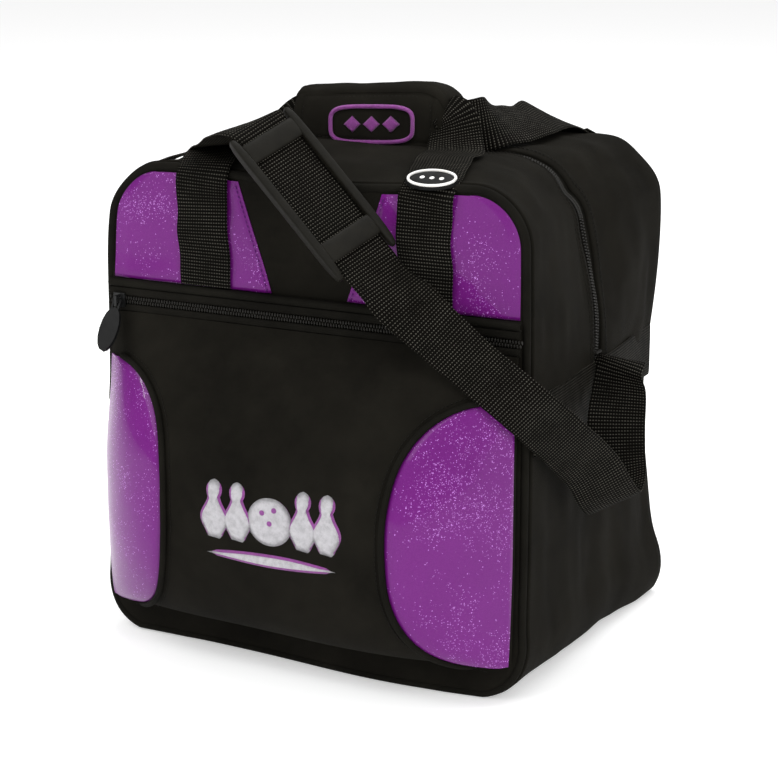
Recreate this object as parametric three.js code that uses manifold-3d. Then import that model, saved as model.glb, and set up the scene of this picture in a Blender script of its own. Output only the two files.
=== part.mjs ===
// A one-ball bowling bag: a boxy padded bag on its flat base, with a domed front pocket,
// an arched top zip, a two-loop carrying handle in a wrap, and a shoulder strap with a slide.
//
// Millimetres, +Z up. The origin is the middle of the flat base. The front faces -Y, and +X is
// on the right for someone who looks at the front. Soft pieces that fold at the mouth are cut
// there, and the front upper half turns about a line just in front of the cut.
import * as THREE from "three";
import { mergeVertices } from "three/addons/utils/BufferGeometryUtils.js";
import Module from "manifold-3d";

const wasm = await Module();
wasm.setup();

// ---------------------------------------------------------------- driving dimensions
const WIDTH = 326;
const DEPTH = 250;
const HEIGHT = 352;
const CORNER_RADIUS = 42;
const WALL = 3.5;
const PANEL = 5;
const GAP = 0.3;
const PIPING_RADIUS = 3.2;
const WEBBING_WIDTH = 40;
const WEBBING = 2;

const FRONT = -DEPTH / 2;
const REAR = DEPTH / 2;
const SIDE = WIDTH / 2;
const PIPING_INSET = PIPING_RADIUS + GAP;
const PIPING_Y = DEPTH / 2 - 2;
const PANEL_INSET = 2 * PIPING_RADIUS + 2 * GAP;
const GUSSET_Y = PIPING_Y - PIPING_RADIUS - GAP;

// Where the mouth folds: level at the front panel, falling to FOLD_AT_ZIP at the zip.
const FOLD_Z = 264;
const FOLD_AT_ZIP = 240;

// The arched zip lies in the middle of the gusset, and its ends are FOLD_AT_ZIP - ZIP_END_Z below.
const TAPE_HALF = 8.7;
const COIL_OUT = 3;
const COIL_IN = 1.1;
const ZIP_END_Z = 212.3;
const ZIP_WALL = 2;

const BAND_Z = [171, 211.7];

const POCKET_HALF = 156;
const POCKET_BOTTOM = 28;
const POCKET_TOP = 241;
const POCKET_EDGE_Y = 130.6;
const POCKET_BULGE = 54;
const POCKET_WALL = 4;

const INSET_CENTRE = [160, 119];
const INSET_RADII = [75, 92];
const INSET_SQUARENESS = 2.6;
const INSET_OUTER = 153;

const LEG_X = 84;
const LEG_STANDOFF = 2.7;
const GRIP_HALF = 57;
const GRIP_BOTTOM = 353;
const GRIP_TOP = 394;
const GRIP_Z = 373.2;
const FRONT_BAR_Y = -27.3;
const REAR_BAR_Y = -3.5;

// The slide's own axes: along the strap, across it, and out of the front.
const SLIDE_CENTRE = new THREE.Vector3(20, -156, 343);
const SLIDE_ALONG = new THREE.Vector3(95, 0, -100).normalize();
const SLIDE_LENGTH = 117;
const SLIDE_WIDTH = 53;

// ---------------------------------------------------------------- materials
const fabric = { color: 0x171614, roughness: 0.9, metalness: 0 };
const webbing = { color: 0x1c1b19, roughness: 0.8, metalness: 0 };
const vinyl = { color: 0x7a2aa0, roughness: 0.2, metalness: 0.1 };
const plastic = { color: 0x34312e, roughness: 0.45, metalness: 0 };
const zipMetal = { color: 0x101010, roughness: 0.35, metalness: 0.6 };
const rubber = { color: 0x161616, roughness: 0.6, metalness: 0 };
const thread = { color: 0xd8d4dc, roughness: 0.7, metalness: 0 };
const purpleThread = { color: 0x9c28a8, roughness: 0.6, metalness: 0 };
const foam = { color: 0x2c2c2e, roughness: 1, metalness: 0 };
const board = { color: 0x202020, roughness: 0.7, metalness: 0 };

const bag = new THREE.Group();

function addPiece(name, geometry, material, parent = bag) {
  const mesh = new THREE.Mesh(geometry, new THREE.MeshStandardMaterial(material));
  mesh.name = name;
  parent.add(mesh);
  return mesh;
}

// ---------------------------------------------------------------- geometry helpers
function toSolid(geometry) {
  const bare = geometry.clone();
  bare.deleteAttribute("normal");
  bare.deleteAttribute("uv");
  const merged = mergeVertices(bare, 1e-4);
  return new wasm.Manifold(new wasm.Mesh({
    numProp: 3,
    vertProperties: new Float32Array(merged.attributes.position.array),
    triVerts: new Uint32Array(merged.index.array),
  }));
}

function toGeometry(solid) {
  const mesh = solid.getMesh();
  const geometry = new THREE.BufferGeometry();
  geometry.setAttribute("position", new THREE.BufferAttribute(mesh.vertProperties, 3));
  geometry.setIndex(new THREE.BufferAttribute(mesh.triVerts, 1));
  return geometry;
}

function block([x0, x1], [y0, y1], [z0, z1]) {
  const geometry = new THREE.BoxGeometry(x1 - x0, y1 - y0, z1 - z0);
  return geometry.translate((x0 + x1) / 2, (y0 + y1) / 2, (z0 + z1) / 2);
}

// A shape drawn in X and Z, made solid from y0 to y1.
function slab(shape, y0, y1, curveSegments = 6) {
  const geometry = new THREE.ExtrudeGeometry(shape, { depth: y1 - y0, bevelEnabled: false, curveSegments });
  return geometry.rotateX(Math.PI / 2).translate(0, y1, 0);
}

// A polygon given in Y and Z, made solid across the whole width: the tool for sloping cuts.
function sideCutter(points) {
  const shape = new THREE.Shape(points.map(([y, z]) => new THREE.Vector2(y, z)));
  const geometry = new THREE.ExtrudeGeometry(shape, { depth: 2 * WIDTH, bevelEnabled: false });
  return toSolid(geometry.rotateX(Math.PI / 2).rotateZ(Math.PI / 2).translate(-WIDTH, 0, 0));
}

function above(z) {
  return toSolid(block([-400, 400], [-400, 400], [z, 600]));
}

function below(z) {
  return toSolid(block([-400, 400], [-400, 400], [-100, z]));
}

function traceOutline(path, inset) {
  const x = SIDE - inset;
  const r = CORNER_RADIUS - inset;
  const top = HEIGHT - inset;
  path.moveTo(-x + r, inset);
  path.absarc(x - r, inset + r, r, -Math.PI / 2, 0, false);
  path.absarc(x - r, top - r, r, 0, Math.PI / 2, false);
  path.absarc(-x + r, top - r, r, Math.PI / 2, Math.PI, false);
  path.absarc(-x + r, inset + r, r, Math.PI, 1.5 * Math.PI, false);
  path.closePath();
  return path;
}

function outline(inset) {
  return traceOutline(new THREE.Shape(), inset);
}

// A wall that follows the bag's outline, from one inset to another.
function ring(outerInset, innerInset, y0, y1) {
  const shape = outline(outerInset);
  shape.holes.push(traceOutline(new THREE.Path(), innerInset));
  return toSolid(slab(shape, y0, y1));
}

// Joins rings of points into one closed skin, with flat ends unless the rings close on themselves.
function loft(rings, closed = false) {
  const count = rings[0].length;
  const positions = rings.flat().flatMap((p) => [p.x, p.y, p.z]);
  const index = [];
  const last = closed ? rings.length : rings.length - 1;
  for (let i = 0; i < last; i++) {
    const a = i * count;
    const b = ((i + 1) % rings.length) * count;
    for (let j = 0; j < count; j++) {
      const k = (j + 1) % count;
      index.push(a + j, a + k, b + k, a + j, b + k, b + j);
    }
  }
  if (!closed) {
    const end = (rings.length - 1) * count;
    for (let j = 1; j < count - 1; j++) {
      index.push(0, j + 1, j);
      index.push(end, end + j, end + j + 1);
    }
  }
  const geometry = new THREE.BufferGeometry();
  geometry.setAttribute("position", new THREE.Float32BufferAttribute(positions, 3));
  geometry.setIndex(signedVolume(positions, index) < 0 ? index.reverse() : index);
  return geometry;
}

function signedVolume(positions, index) {
  const corner = (i) => new THREE.Vector3().fromArray(positions, 3 * index[i]);
  let volume = 0;
  for (let i = 0; i < index.length; i += 3) {
    volume += corner(i).dot(corner(i + 1).cross(corner(i + 2))) / 6;
  }
  return volume;
}

// A flat strap through stations of [centre, direction across, optional width].
function ribbon(stations, samples) {
  const centres = stations.map(([centre]) => new THREE.Vector3(...centre));
  const acrosses = stations.map(([, across, width = WEBBING_WIDTH]) =>
    new THREE.Vector3(...across).normalize().multiplyScalar(width / 2));
  const centreLine = new THREE.CatmullRomCurve3(centres);
  const acrossLine = new THREE.CatmullRomCurve3(acrosses);
  const rings = [];
  for (let i = 0; i <= samples; i++) {
    const t = i / samples;
    const centre = centreLine.getPoint(t);
    const tangent = centreLine.getTangent(t);
    const across = acrossLine.getPoint(t);
    across.addScaledVector(tangent, -across.dot(tangent));
    const normal = new THREE.Vector3().crossVectors(tangent, across).normalize();
    normal.multiplyScalar(WEBBING / 2);
    rings.push([[1, 1], [-1, 1], [-1, -1], [1, -1]].map(([a, n]) =>
      centre.clone().addScaledVector(across, a).addScaledVector(normal, n)));
  }
  return loft(rings);
}

// A sheet over a grid: point(u, v, side) gives its outer face for side 1 and its inner for side 0.
function sheet(columns, rows, point) {
  const rings = [];
  for (let i = 0; i <= columns; i++) {
    const face = (side) => Array.from({ length: rows + 1 }, (_, j) => point(i / columns, j / rows, side));
    rings.push([...face(1), ...face(0).reverse()]);
  }
  return capGrid(loft(rings), rings, rows);
}

// The fan ends that loft() makes only suit convex rings, so a sheet's ends are made of strips.
function capGrid(geometry, rings, rows) {
  const count = rings[0].length;
  const sides = [];
  const strip = (start, flip) => {
    for (let j = 0; j < rows; j++) {
      const quad = [start + j, start + j + 1, start + count - 2 - j, start + count - 1 - j];
      const [a, b, c, d] = flip ? quad.reverse() : quad;
      sides.push(a, b, c, a, c, d);
    }
  };
  for (let i = 0; i < rings.length - 1; i++) {
    for (let j = 0; j < count; j++) {
      const k = (j + 1) % count;
      const a = i * count;
      sides.push(a + j, a + k, a + count + k, a + j, a + count + k, a + count + j);
    }
  }
  strip(0, true);
  strip((rings.length - 1) * count, false);
  const positions = Array.from(geometry.attributes.position.array);
  geometry.setIndex(signedVolume(positions, sides) < 0 ? sides.reverse() : sides);
  return geometry;
}

// A round bead through points, with a direction to lay its section in beside the tangent.
function bead(points, radius, sides, closed = false) {
  const rings = points.map((point, i) => {
    const before = points[closed ? (i + points.length - 1) % points.length : Math.max(i - 1, 0)];
    const after = points[closed ? (i + 1) % points.length : Math.min(i + 1, points.length - 1)];
    const tangent = after.clone().sub(before).normalize();
    const across = new THREE.Vector3(0, 1, 0).addScaledVector(tangent, -tangent.y).normalize();
    const up = new THREE.Vector3().crossVectors(tangent, across);
    return Array.from({ length: sides }, (_, k) => {
      const angle = (2 * Math.PI * k) / sides;
      return point.clone()
        .addScaledVector(across, radius * Math.cos(angle))
        .addScaledVector(up, radius * Math.sin(angle));
    });
  });
  return loft(rings, closed);
}

// ---------------------------------------------------------------- padded shell
const movingSide = sideCutter([
  [FRONT - 20, foldHeight(FRONT - 20)],
  [20, foldHeight(20)],
  [20, 600],
  [FRONT - 20, 600],
]);
const standingSide = sideCutter([
  [FRONT - 20, -50],
  [REAR + 20, -50],
  [REAR + 20, foldHeight(0) - GAP],
  [20, foldHeight(20) - GAP],
  [FRONT - 20, foldHeight(FRONT - 20) - GAP],
]);

function foldHeight(y) {
  return FOLD_AT_ZIP + ((FOLD_Z - FOLD_AT_ZIP) * y) / FRONT;
}

function makeShell() {
  const rearHalf = ring(0, WALL, TAPE_HALF + GAP, GUSSET_Y).intersect(above(ZIP_END_Z + GAP));
  const frontHalf = ring(0, WALL, -GUSSET_Y, -TAPE_HALF - GAP).intersect(movingSide);
  const lowerWall = ring(0, WALL, -GUSSET_Y, GUSSET_Y).intersect(below(ZIP_END_Z));
  const frontFlank = ring(0, WALL, -GUSSET_Y, -TAPE_HALF - GAP).intersect(standingSide);
  addPiece("gusset_rear_half", toGeometry(rearHalf), fabric);
  addPiece("gusset_front_half", toGeometry(frontHalf), fabric);
  addPiece("gusset_lower", toGeometry(lowerWall.add(frontFlank)), fabric);

  const panel = toSolid(slab(outline(PANEL_INSET), FRONT, FRONT + PANEL));
  addPiece("front_panel_upper", toGeometry(panel.intersect(above(FOLD_Z + GAP))), fabric);
  addPiece("front_panel_lower", toGeometry(panel.intersect(below(FOLD_Z))), fabric);
  addPiece("rear_panel", slab(outline(PANEL_INSET), REAR - PANEL, REAR), fabric);
}

function pipingPoints(y) {
  const path = traceOutline(new THREE.Path(), PIPING_INSET);
  const points = path.getPoints(6);
  points.pop();
  return points.map((p) => new THREE.Vector3(p.x, y, p.y));
}

function makePiping() {
  const front = toSolid(bead(pipingPoints(-PIPING_Y), PIPING_RADIUS, 8, true));
  addPiece("front_piping_upper", toGeometry(front.intersect(above(FOLD_Z + GAP))), fabric);
  addPiece("front_piping_lower", toGeometry(front.intersect(below(FOLD_Z))), fabric);
  addPiece("rear_piping", bead(pipingPoints(PIPING_Y), PIPING_RADIUS, 8, true), fabric);
}

// ---------------------------------------------------------------- arched zip
function makeArchedZip() {
  const frontTape = ring(0.5, 0.5 + ZIP_WALL, -TAPE_HALF, -COIL_OUT - GAP).intersect(movingSide);
  const frontCoil = ring(-0.4, 2.6, -COIL_OUT, -COIL_IN).intersect(movingSide);
  addPiece("zip_tape_front", toGeometry(frontTape), fabric);
  addPiece("zip_coil_front", toGeometry(frontCoil), plastic);
  const rearTape = ring(0.5, 0.5 + ZIP_WALL, COIL_OUT + GAP, TAPE_HALF).intersect(above(FOLD_AT_ZIP + 1));
  const rearCoil = ring(-0.4, 2.6, COIL_IN, COIL_OUT).intersect(above(FOLD_AT_ZIP + 1));
  addPiece("zip_tape_rear", toGeometry(rearTape), fabric);
  addPiece("zip_coil_rear", toGeometry(rearCoil), plastic);
}

// The stitched-down end of the zip on one side: a fork that the slider's neck can enter.
function makeZipEnd(name, sign) {
  const x = [sign * (SIDE - 2.5), sign * (SIDE - 0.5)].sort((a, b) => a - b);
  const top = foldHeight(TAPE_HALF) - 2 * GAP;
  const foot = toSolid(block(x, [-TAPE_HALF, TAPE_HALF], [ZIP_END_Z + GAP, ZIP_END_Z + 4]));
  const frontLeg = toSolid(block(x, [-TAPE_HALF, -COIL_IN], [ZIP_END_Z + GAP, top]));
  const rearLeg = toSolid(block(x, [COIL_IN, TAPE_HALF], [ZIP_END_Z + GAP, top]));
  addPiece(name, toGeometry(foot.add(frontLeg).add(rearLeg)), fabric);
}

// ---------------------------------------------------------------- zip slider and its pull
// Drawn with its front to -Y; `neck` is [width in X, height in Z] of the web between the coils.
const SLIDER_PLATE = 1.6;
const ARCH_REACH = 5.2;

function sliderSolid(depth, neck) {
  const front = -depth / 2;
  const parts = [
    block([-4.5, 4.5], [front - SLIDER_PLATE, front], [-5, 5]),
    block([-4.5, 4.5], [depth / 2, depth / 2 + SLIDER_PLATE], [-5, 5]),
    block([-neck[0] / 2, neck[0] / 2], [front - 0.1, depth / 2 + 0.1], [-neck[1] / 2, neck[1] / 2]),
    block([-1, 1], [front - SLIDER_PLATE - ARCH_REACH, front - 1], [-3.7, -2.2]),
    block([-1, 1], [front - SLIDER_PLATE - ARCH_REACH, front - 1], [2.2, 3.7]),
    block([-1, 1], [front - SLIDER_PLATE - ARCH_REACH, front - SLIDER_PLATE - 3.9], [-3.7, 3.7]),
  ];
  return parts.map(toSolid).reduce((whole, part) => whole.add(part));
}

// The pull hangs from a cross bar at its own origin, and ends in an oval tab.
const PULL_WIDTH = 15;
const PULL_HEIGHT = 33;

function pullSolid() {
  const tab = new THREE.Shape();
  tab.absellipse(0, -22, PULL_WIDTH / 2, PULL_HEIGHT / 2, 0, 2 * Math.PI, false, 0);
  const parts = [
    slab(tab, -1.3, 1.3, 8),
    block([-3.4, 3.4], [-0.8, 0.8], [-0.8, 0.8]),
    block([-3.4, -1.9], [-0.8, 0.8], [-8, 0.8]),
    block([1.9, 3.4], [-0.8, 0.8], [-8, 0.8]),
  ];
  return parts.map(toSolid).reduce((whole, part) => whole.add(part));
}

const BAR_FROM_PLATE = 1.9;
const POCKET_SLIDER = [-148, -129.4, 249.3];
const PULL_LEAN = THREE.MathUtils.degToRad(33);
const MAIN_SLIDER = [-(SIDE - 1.1), 0, 227];
const POCKET_ZIP_DEPTH = 3;
const MAIN_ZIP_DEPTH = 3.4;

function makeSlider(prefix, place, depth, neck, turn, lean) {
  const slider = new THREE.Group();
  slider.position.set(...place);
  slider.rotation.z = turn;
  bag.add(slider);
  addPiece(`${prefix}_slider`, toGeometry(sliderSolid(depth, neck)), zipMetal, slider);
  const pull = addPiece(`${prefix}_pull`, toGeometry(pullSolid()), rubber, slider);
  pull.position.y = -depth / 2 - SLIDER_PLATE - BAR_FROM_PLATE;
  pull.rotation.x = -lean;
}

// ---------------------------------------------------------------- front upper panel trim
function makeVinyl(name, sign) {
  const corner = [[29, FOLD_Z + GAP], [SIDE, FOLD_Z + GAP], [SIDE, HEIGHT], [57, HEIGHT]];
  const shape = new THREE.Shape(corner.map(([x, z]) => new THREE.Vector2(sign * x, z)));
  const wedge = toSolid(slab(shape, FRONT - 2, FRONT));
  const face = toSolid(slab(outline(PANEL_INSET + 1), FRONT - GAP - 1, FRONT - GAP));
  addPiece(name, toGeometry(face.intersect(wedge)), vinyl);
}

function makePocketZip() {
  const half = POCKET_HALF - 2;
  const strip = (name, y, z, material) =>
    addPiece(name, block([-half, half], y, z), material);
  strip("pocket_zip_binding", [-131.3, FRONT - GAP], [258.3, FOLD_Z - GAP], fabric);
  strip("pocket_zip_tape_upper", [-130, -128.8], [252.6, 258], fabric);
  strip("pocket_zip_coil_upper", [-130.6, -128.2], [250.3, 252.3], plastic);
  strip("pocket_zip_coil_lower", [-130.6, -128.2], [246.3, 248.3], plastic);
  strip("pocket_zip_tape_lower", [-130, -128.8], [POCKET_TOP + GAP, 246], fabric);
}

// ---------------------------------------------------------------- domed pocket
const DOME_LOW = 0.4;

function pocketFront(x, z) {
  const u = Math.min(Math.abs(x) / POCKET_HALF, 1);
  const t = THREE.MathUtils.clamp((z - POCKET_BOTTOM) / (POCKET_TOP - POCKET_BOTTOM), 0, 1);
  const across = 1 - u ** 5;
  const rise = t < DOME_LOW
    ? (1 - (1 - t / DOME_LOW) ** 2) ** 0.35
    : 1 - ((t - DOME_LOW) / (1 - DOME_LOW)) ** 2.2;
  return -POCKET_EDGE_Y - POCKET_BULGE * across * rise;
}

// A point lifted off the dome along the dome's own normal.
function onPocket(x, z, lift) {
  const step = 0.5;
  const slopeX = (pocketFront(x + step, z) - pocketFront(x - step, z)) / (2 * step);
  const slopeZ = (pocketFront(x, z + step) - pocketFront(x, z - step)) / (2 * step);
  const normal = new THREE.Vector3(slopeX, -1, slopeZ).normalize();
  return new THREE.Vector3(x, pocketFront(x, z), z).addScaledVector(normal, lift);
}

// Spreads a grid's lines so that they crowd towards both ends, where the dome turns fastest.
function crowded(t) {
  return 0.5 - 0.5 * Math.cos(Math.PI * t);
}

function makePocket() {
  const panel = sheet(20, 14, (u, v, side) => {
    const x = POCKET_HALF * (2 * crowded(u) - 1);
    const z = POCKET_BOTTOM + (POCKET_TOP - POCKET_BOTTOM) * crowded(v);
    return new THREE.Vector3(x, pocketFront(x, z) + POCKET_WALL * (1 - side), z);
  });
  addPiece("pocket_panel", panel, fabric);
}

// A point on the inner edge of a vinyl inset, a squared-off half oval, with s from -1 to 1.
function insetEdge(s) {
  const reach = (1 - Math.abs(s) ** INSET_SQUARENESS) ** (1 / INSET_SQUARENESS);
  return new THREE.Vector2(-INSET_RADII[0] * reach, INSET_RADII[1] * s);
}

// The same point moved out of the oval by `away`, along the oval's normal.
function besideInset(s, away) {
  const edge = insetEdge(s);
  const power = INSET_SQUARENESS - 1;
  const pull = (value, radius) => (Math.sign(value) * Math.abs(value / radius) ** power) / radius;
  const normal = new THREE.Vector2(pull(edge.x, INSET_RADII[0]), pull(edge.y, INSET_RADII[1]));
  return edge.addScaledVector(normal.normalize(), away);
}

const INSET_END = 0.985;
const INSET_LIFT = 0.8;
const BEAD_RADIUS = 1.6;

function makeInset(side, sign) {
  const [centreX, centreZ] = INSET_CENTRE;
  const inset = sheet(8, 16, (u, v, face) => {
    const edge = insetEdge(INSET_END * (2 * crowded(v) - 1));
    const x = THREE.MathUtils.lerp(centreX + edge.x, INSET_OUTER, u);
    return onPocket(sign * x, centreZ + edge.y, INSET_LIFT + face);
  });
  addPiece(`pocket_inset_${side}`, inset, vinyl);

  const points = [];
  const steps = 24;
  for (let i = 0; i <= steps; i++) {
    const s = INSET_END * Math.sin(Math.PI * (i / steps - 0.5));
    const place = besideInset(s, BEAD_RADIUS + 1.2);
    points.push(onPocket(sign * (centreX + place.x), centreZ + place.y, BEAD_RADIUS + 1));
  }
  addPiece(`inset_piping_${side}`, bead(points, BEAD_RADIUS, 6), fabric);
}

const EMBLEM = { x: 0, z: 118, halfWidth: 50, halfHeight: 31 };

function makePocketEmblem() {
  const patch = sheet(10, 6, (u, v, face) => {
    const s = 0.97 * (2 * crowded(v) - 1);
    const half = EMBLEM.halfWidth * Math.sqrt(1 - s * s);
    const x = EMBLEM.x + half * (2 * u - 1);
    return onPocket(x, EMBLEM.z + EMBLEM.halfHeight * s, INSET_LIFT + 0.8 * face);
  });
  addPiece("pocket_emblem", patch, thread);
}

// ---------------------------------------------------------------- inside
const BALL_RADIUS = 109;

function makeInside() {
  addPiece("base_board", block([-119, 119], [-112, 112], [WALL + GAP, WALL + GAP + 2.5]), board);
  const floor = WALL + 2 * GAP + 2.5;
  const rim = { r: 72, z: 38 };
  const ballZ = rim.z + Math.sqrt(BALL_RADIUS ** 2 - rim.r ** 2);
  const profile = [new THREE.Vector2(95, floor), new THREE.Vector2(95, rim.z)];
  for (let r = rim.r; r >= 40; r -= 8) {
    profile.push(new THREE.Vector2(r, ballZ - Math.sqrt(BALL_RADIUS ** 2 - r ** 2)));
  }
  profile.push(new THREE.Vector2(40, floor), new THREE.Vector2(95, floor));
  const cup = new THREE.LatheGeometry(profile, 32).rotateX(Math.PI / 2);
  addPiece("ball_cup", toGeometry(toSolid(cup)), foam);
}

// ---------------------------------------------------------------- handle loops
// Stations of the right half of a loop, from the foot of its leg to the middle of the bar.
function halfLoop(sign, barY) {
  const at = (x, y, z, turn) => [[x, y, z], [Math.cos(turn), 0, Math.sin(turn)]];
  const edge = sign * (DEPTH / 2);
  const face = edge + sign * LEG_STANDOFF;
  return [
    at(LEG_X, face, FOLD_Z + 2 * GAP, 0),
    at(LEG_X, face, 300, 0),
    at(LEG_X, face, HEIGHT - 8, 0),
    at(LEG_X + 1, face - sign * 0.4, HEIGHT + 1, 0),
    at(LEG_X + 1, edge - sign * 2, HEIGHT + 5.5, 0),
    at(LEG_X, edge - sign * 14, HEIGHT + 8, 0),
    at(LEG_X - 2, edge - sign * 30, HEIGHT + 9, 0),
    at(LEG_X - 4, THREE.MathUtils.lerp(edge, barY, 0.6), HEIGHT + 10, 0.05),
    at(LEG_X - 6, THREE.MathUtils.lerp(edge, barY, 0.8), HEIGHT + 13, 0.3),
    at(LEG_X - 9, THREE.MathUtils.lerp(edge, barY, 0.91), HEIGHT + 17.2, 0.8),
    at(LEG_X - 15, THREE.MathUtils.lerp(edge, barY, 0.98), GRIP_Z - 0.2, 1.35),
    at(LEG_X - 24, barY, GRIP_Z, Math.PI / 2),
    at(LEG_X - 36, barY, GRIP_Z, Math.PI / 2),
    at(LEG_X - 52, barY, GRIP_Z, Math.PI / 2),
  ];
}

function makeHandleLoop(name, sign, barY) {
  const half = halfLoop(sign, barY);
  const mirrored = half.map(([[x, y, z], [ax, ay, az]]) => [[-x, y, z], [-ax, ay, az]]).reverse();
  addPiece(name, ribbon([...half, [[0, barY, GRIP_Z], [0, 0, 1]], ...mirrored], 96), webbing);
}

function makeBadge() {
  const oval = new THREE.Shape();
  oval.absellipse(0, 0, 19, 13, 0, 2 * Math.PI, false, 0);
  const badge = addPiece("handle_badge",
    new THREE.ExtrudeGeometry(oval, { depth: 1.4, bevelEnabled: false, curveSegments: 12 }), rubber);
  badge.position.set(LEG_X + 3, -116, HEIGHT + 9.6);
  badge.rotation.x = THREE.MathUtils.degToRad(14);
}

// ---------------------------------------------------------------- handle wrap
const FLAP_FRONT_Y = -39.1;

function makeWrap() {
  const x = [-GRIP_HALF, GRIP_HALF];
  const wall = toSolid(block(x, [-32.2, -29.4], [GRIP_BOTTOM, GRIP_TOP]));
  const roof = toSolid(block(x, [FLAP_FRONT_Y, 2.6], [GRIP_TOP - 0.1, GRIP_TOP + 3]));
  addPiece("grip_wrap_front", toGeometry(wall.add(roof)), fabric);
  addPiece("grip_wrap_rear", block(x, [-1.4, 2.6], [GRIP_BOTTOM, GRIP_TOP - 0.4]), fabric);
  const flap = [FLAP_FRONT_Y, FLAP_FRONT_Y + 4];
  addPiece("grip_flap", block(x, flap, [GRIP_BOTTOM, GRIP_TOP - 0.4]), fabric);
  const stripX = [-GRIP_HALF + 6, GRIP_HALF - 6];
  const stripZ = [GRIP_Z - 17, GRIP_Z + 3];
  addPiece("grip_hook_strip", block(stripX, [-34.8, -33.9], stripZ), plastic);
  addPiece("grip_loop_strip", block(stripX, [-33.5, -32.5], stripZ), fabric);
  const oval = new THREE.Shape();
  oval.absellipse(0, GRIP_Z, 32, 15, 0, 2 * Math.PI, false, 0);
  addPiece("grip_emblem", slab(oval, FLAP_FRONT_Y - GAP - 0.8, FLAP_FRONT_Y - GAP, 12), purpleThread);
}

// ---------------------------------------------------------------- shoulder strap
const alongSlide = (distance) => SLIDE_CENTRE.clone().addScaledVector(SLIDE_ALONG, distance).toArray();
const ACROSS_SLIDE = [0.405, 0.83, 0.385];
const ACROSS_DROP = [0.674, 0, 0.738];

// From behind the cut at the right, up through the slide, over the top edge and down the left side.
const STRAP_FRONT = [
  [[165, -147, 215], ACROSS_DROP],
  [[132, -149, 238], ACROSS_DROP],
  [[100, -153, 264], [0.66, 0.1, 0.74]],
  [alongSlide(75), ACROSS_SLIDE],
  [alongSlide(60), ACROSS_SLIDE],
  [alongSlide(0), ACROSS_SLIDE],
  [alongSlide(-45), ACROSS_SLIDE],
  [alongSlide(-59), ACROSS_SLIDE],
  [[-32, -149, 388], [0.69, 0.67, 0.29]],
  [[-51, -133, 381], [0.8, 0.6, 0.1]],
  [[-72, -111, 371], [0.7, 0.7, 0]],
  [[-90, -92, 369.5], [0.5, 0.88, 0]],
  [[-112, -79, 364], [0.15, 0.98, 0]],
  [[-133, -74, 355.5], [0, 1, 0]],
  [[-155, -72, 344], [0, 1, 0]],
  [[-167.8, -74, 312], [0, 1, 0]],
  [[-168.2, -78, 268], [0, 1, 0]],
  [[-168.5, -80, 225], [0, 1, 0]],
  [[-169, -80, 200], [0, 1, 0]],
];

const STRAP_RIGHT = [
  [alongSlide(75), ACROSS_SLIDE],
  [[100, -153, 264], [0.66, 0.1, 0.74]],
  [[132, -149, 238], ACROSS_DROP],
  [[165, -147, 215], ACROSS_DROP],
  [[183, -116, 184], [0.69, 0.1, 0.71]],
  [[194, -84, 156], [0.75, 0.3, 0.58]],
  [[199, -67, 135], [0.77, 0.45, 0.45]],
  [[201, -54, 126], [0.78, 0.47, 0.4]],
  [[200, -42, 134], [0.8, 0.47, 0.35]],
  [[195, -34, 152], [0.9, 0.42, 0.1]],
  [[189, -28, 176], [0.92, 0.38, 0]],
  [[187, -16, 199], [0.98, 0.1, 0]],
  [[186.5, -11, 211], [0.96, -0.28, 0]],
];

const STRAP_LEFT = [
  [[-167.8, -74, 312], [0, 1, 0]],
  [[-168.2, -78, 268], [0, 1, 0]],
  [[-168.5, -80, 225], [0, 1, 0]],
  [[-169.5, -80, 180], [0, 1, 0]],
  [[-172, -76, 135], [0, 1, 0]],
  [[-175, -70, 107], [-0.1, 0.98, 0.1]],
  [[-182, -61, 97], [-0.1, 0.98, 0.1]],
  [[-189, -53, 107], [0, 0.97, -0.2]],
  [[-190, -48, 140], [0, 0.95, -0.25]],
  [[-182, -43, 180], [0, 0.95, -0.25]],
  [[-170.5, -38, 208], [0, 0.96, -0.25]],
];

const STRAP_CUT = [FOLD_Z - 11, FOLD_Z + 23];

function makeStrap() {
  const front = toSolid(ribbon(STRAP_FRONT, 68)).intersect(above(STRAP_CUT[1]));
  addPiece("strap_front_run", toGeometry(front), webbing);
  const right = toSolid(ribbon(STRAP_RIGHT, 60)).intersect(below(STRAP_CUT[0]));
  addPiece("strap_right_run", toGeometry(right), webbing);
  const left = toSolid(ribbon(STRAP_LEFT, 50)).intersect(below(STRAP_CUT[0]));
  addPiece("strap_left_run", toGeometry(left), webbing);
}

// A ladder of two rails and two bars over a thin back plate; the strap runs between them.
function makeSlide() {
  const long = SLIDE_LENGTH / 2;
  const wide = SLIDE_WIDTH / 2;
  const rail = 5.8;
  const bars = [[-50.5, -36.5], [31.5, 46]];
  const parts = [
    block([-long, long], [wide - rail, wide], [-3.8, 3.8]),
    block([-long, long], [-wide, rail - wide], [-3.8, 3.8]),
    block([bars[0][0], bars[1][1]], [rail - wide - 0.1, wide - rail + 0.1], [-3.4, -1.9]),
    ...bars.map((span) => block(span, [rail - wide - 0.1, wide - rail + 0.1], [1.6, 3.8])),
  ];
  const solid = parts.map(toSolid).reduce((whole, part) => whole.add(part));
  const slide = addPiece("shoulder_slide", toGeometry(solid), plastic);
  const across = new THREE.Vector3(...ACROSS_SLIDE);
  across.addScaledVector(SLIDE_ALONG, -across.dot(SLIDE_ALONG)).normalize();
  const out = new THREE.Vector3().crossVectors(SLIDE_ALONG, across);
  slide.position.copy(SLIDE_CENTRE);
  slide.quaternion.setFromRotationMatrix(new THREE.Matrix4().makeBasis(SLIDE_ALONG, across, out));
}

function makeSideBand(name, sign) {
  const x = [sign * (SIDE + GAP), sign * (SIDE + GAP + WEBBING)].sort((a, b) => a - b);
  addPiece(name, block(x, [-GUSSET_Y, GUSSET_Y], BAND_Z), webbing);
}

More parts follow.
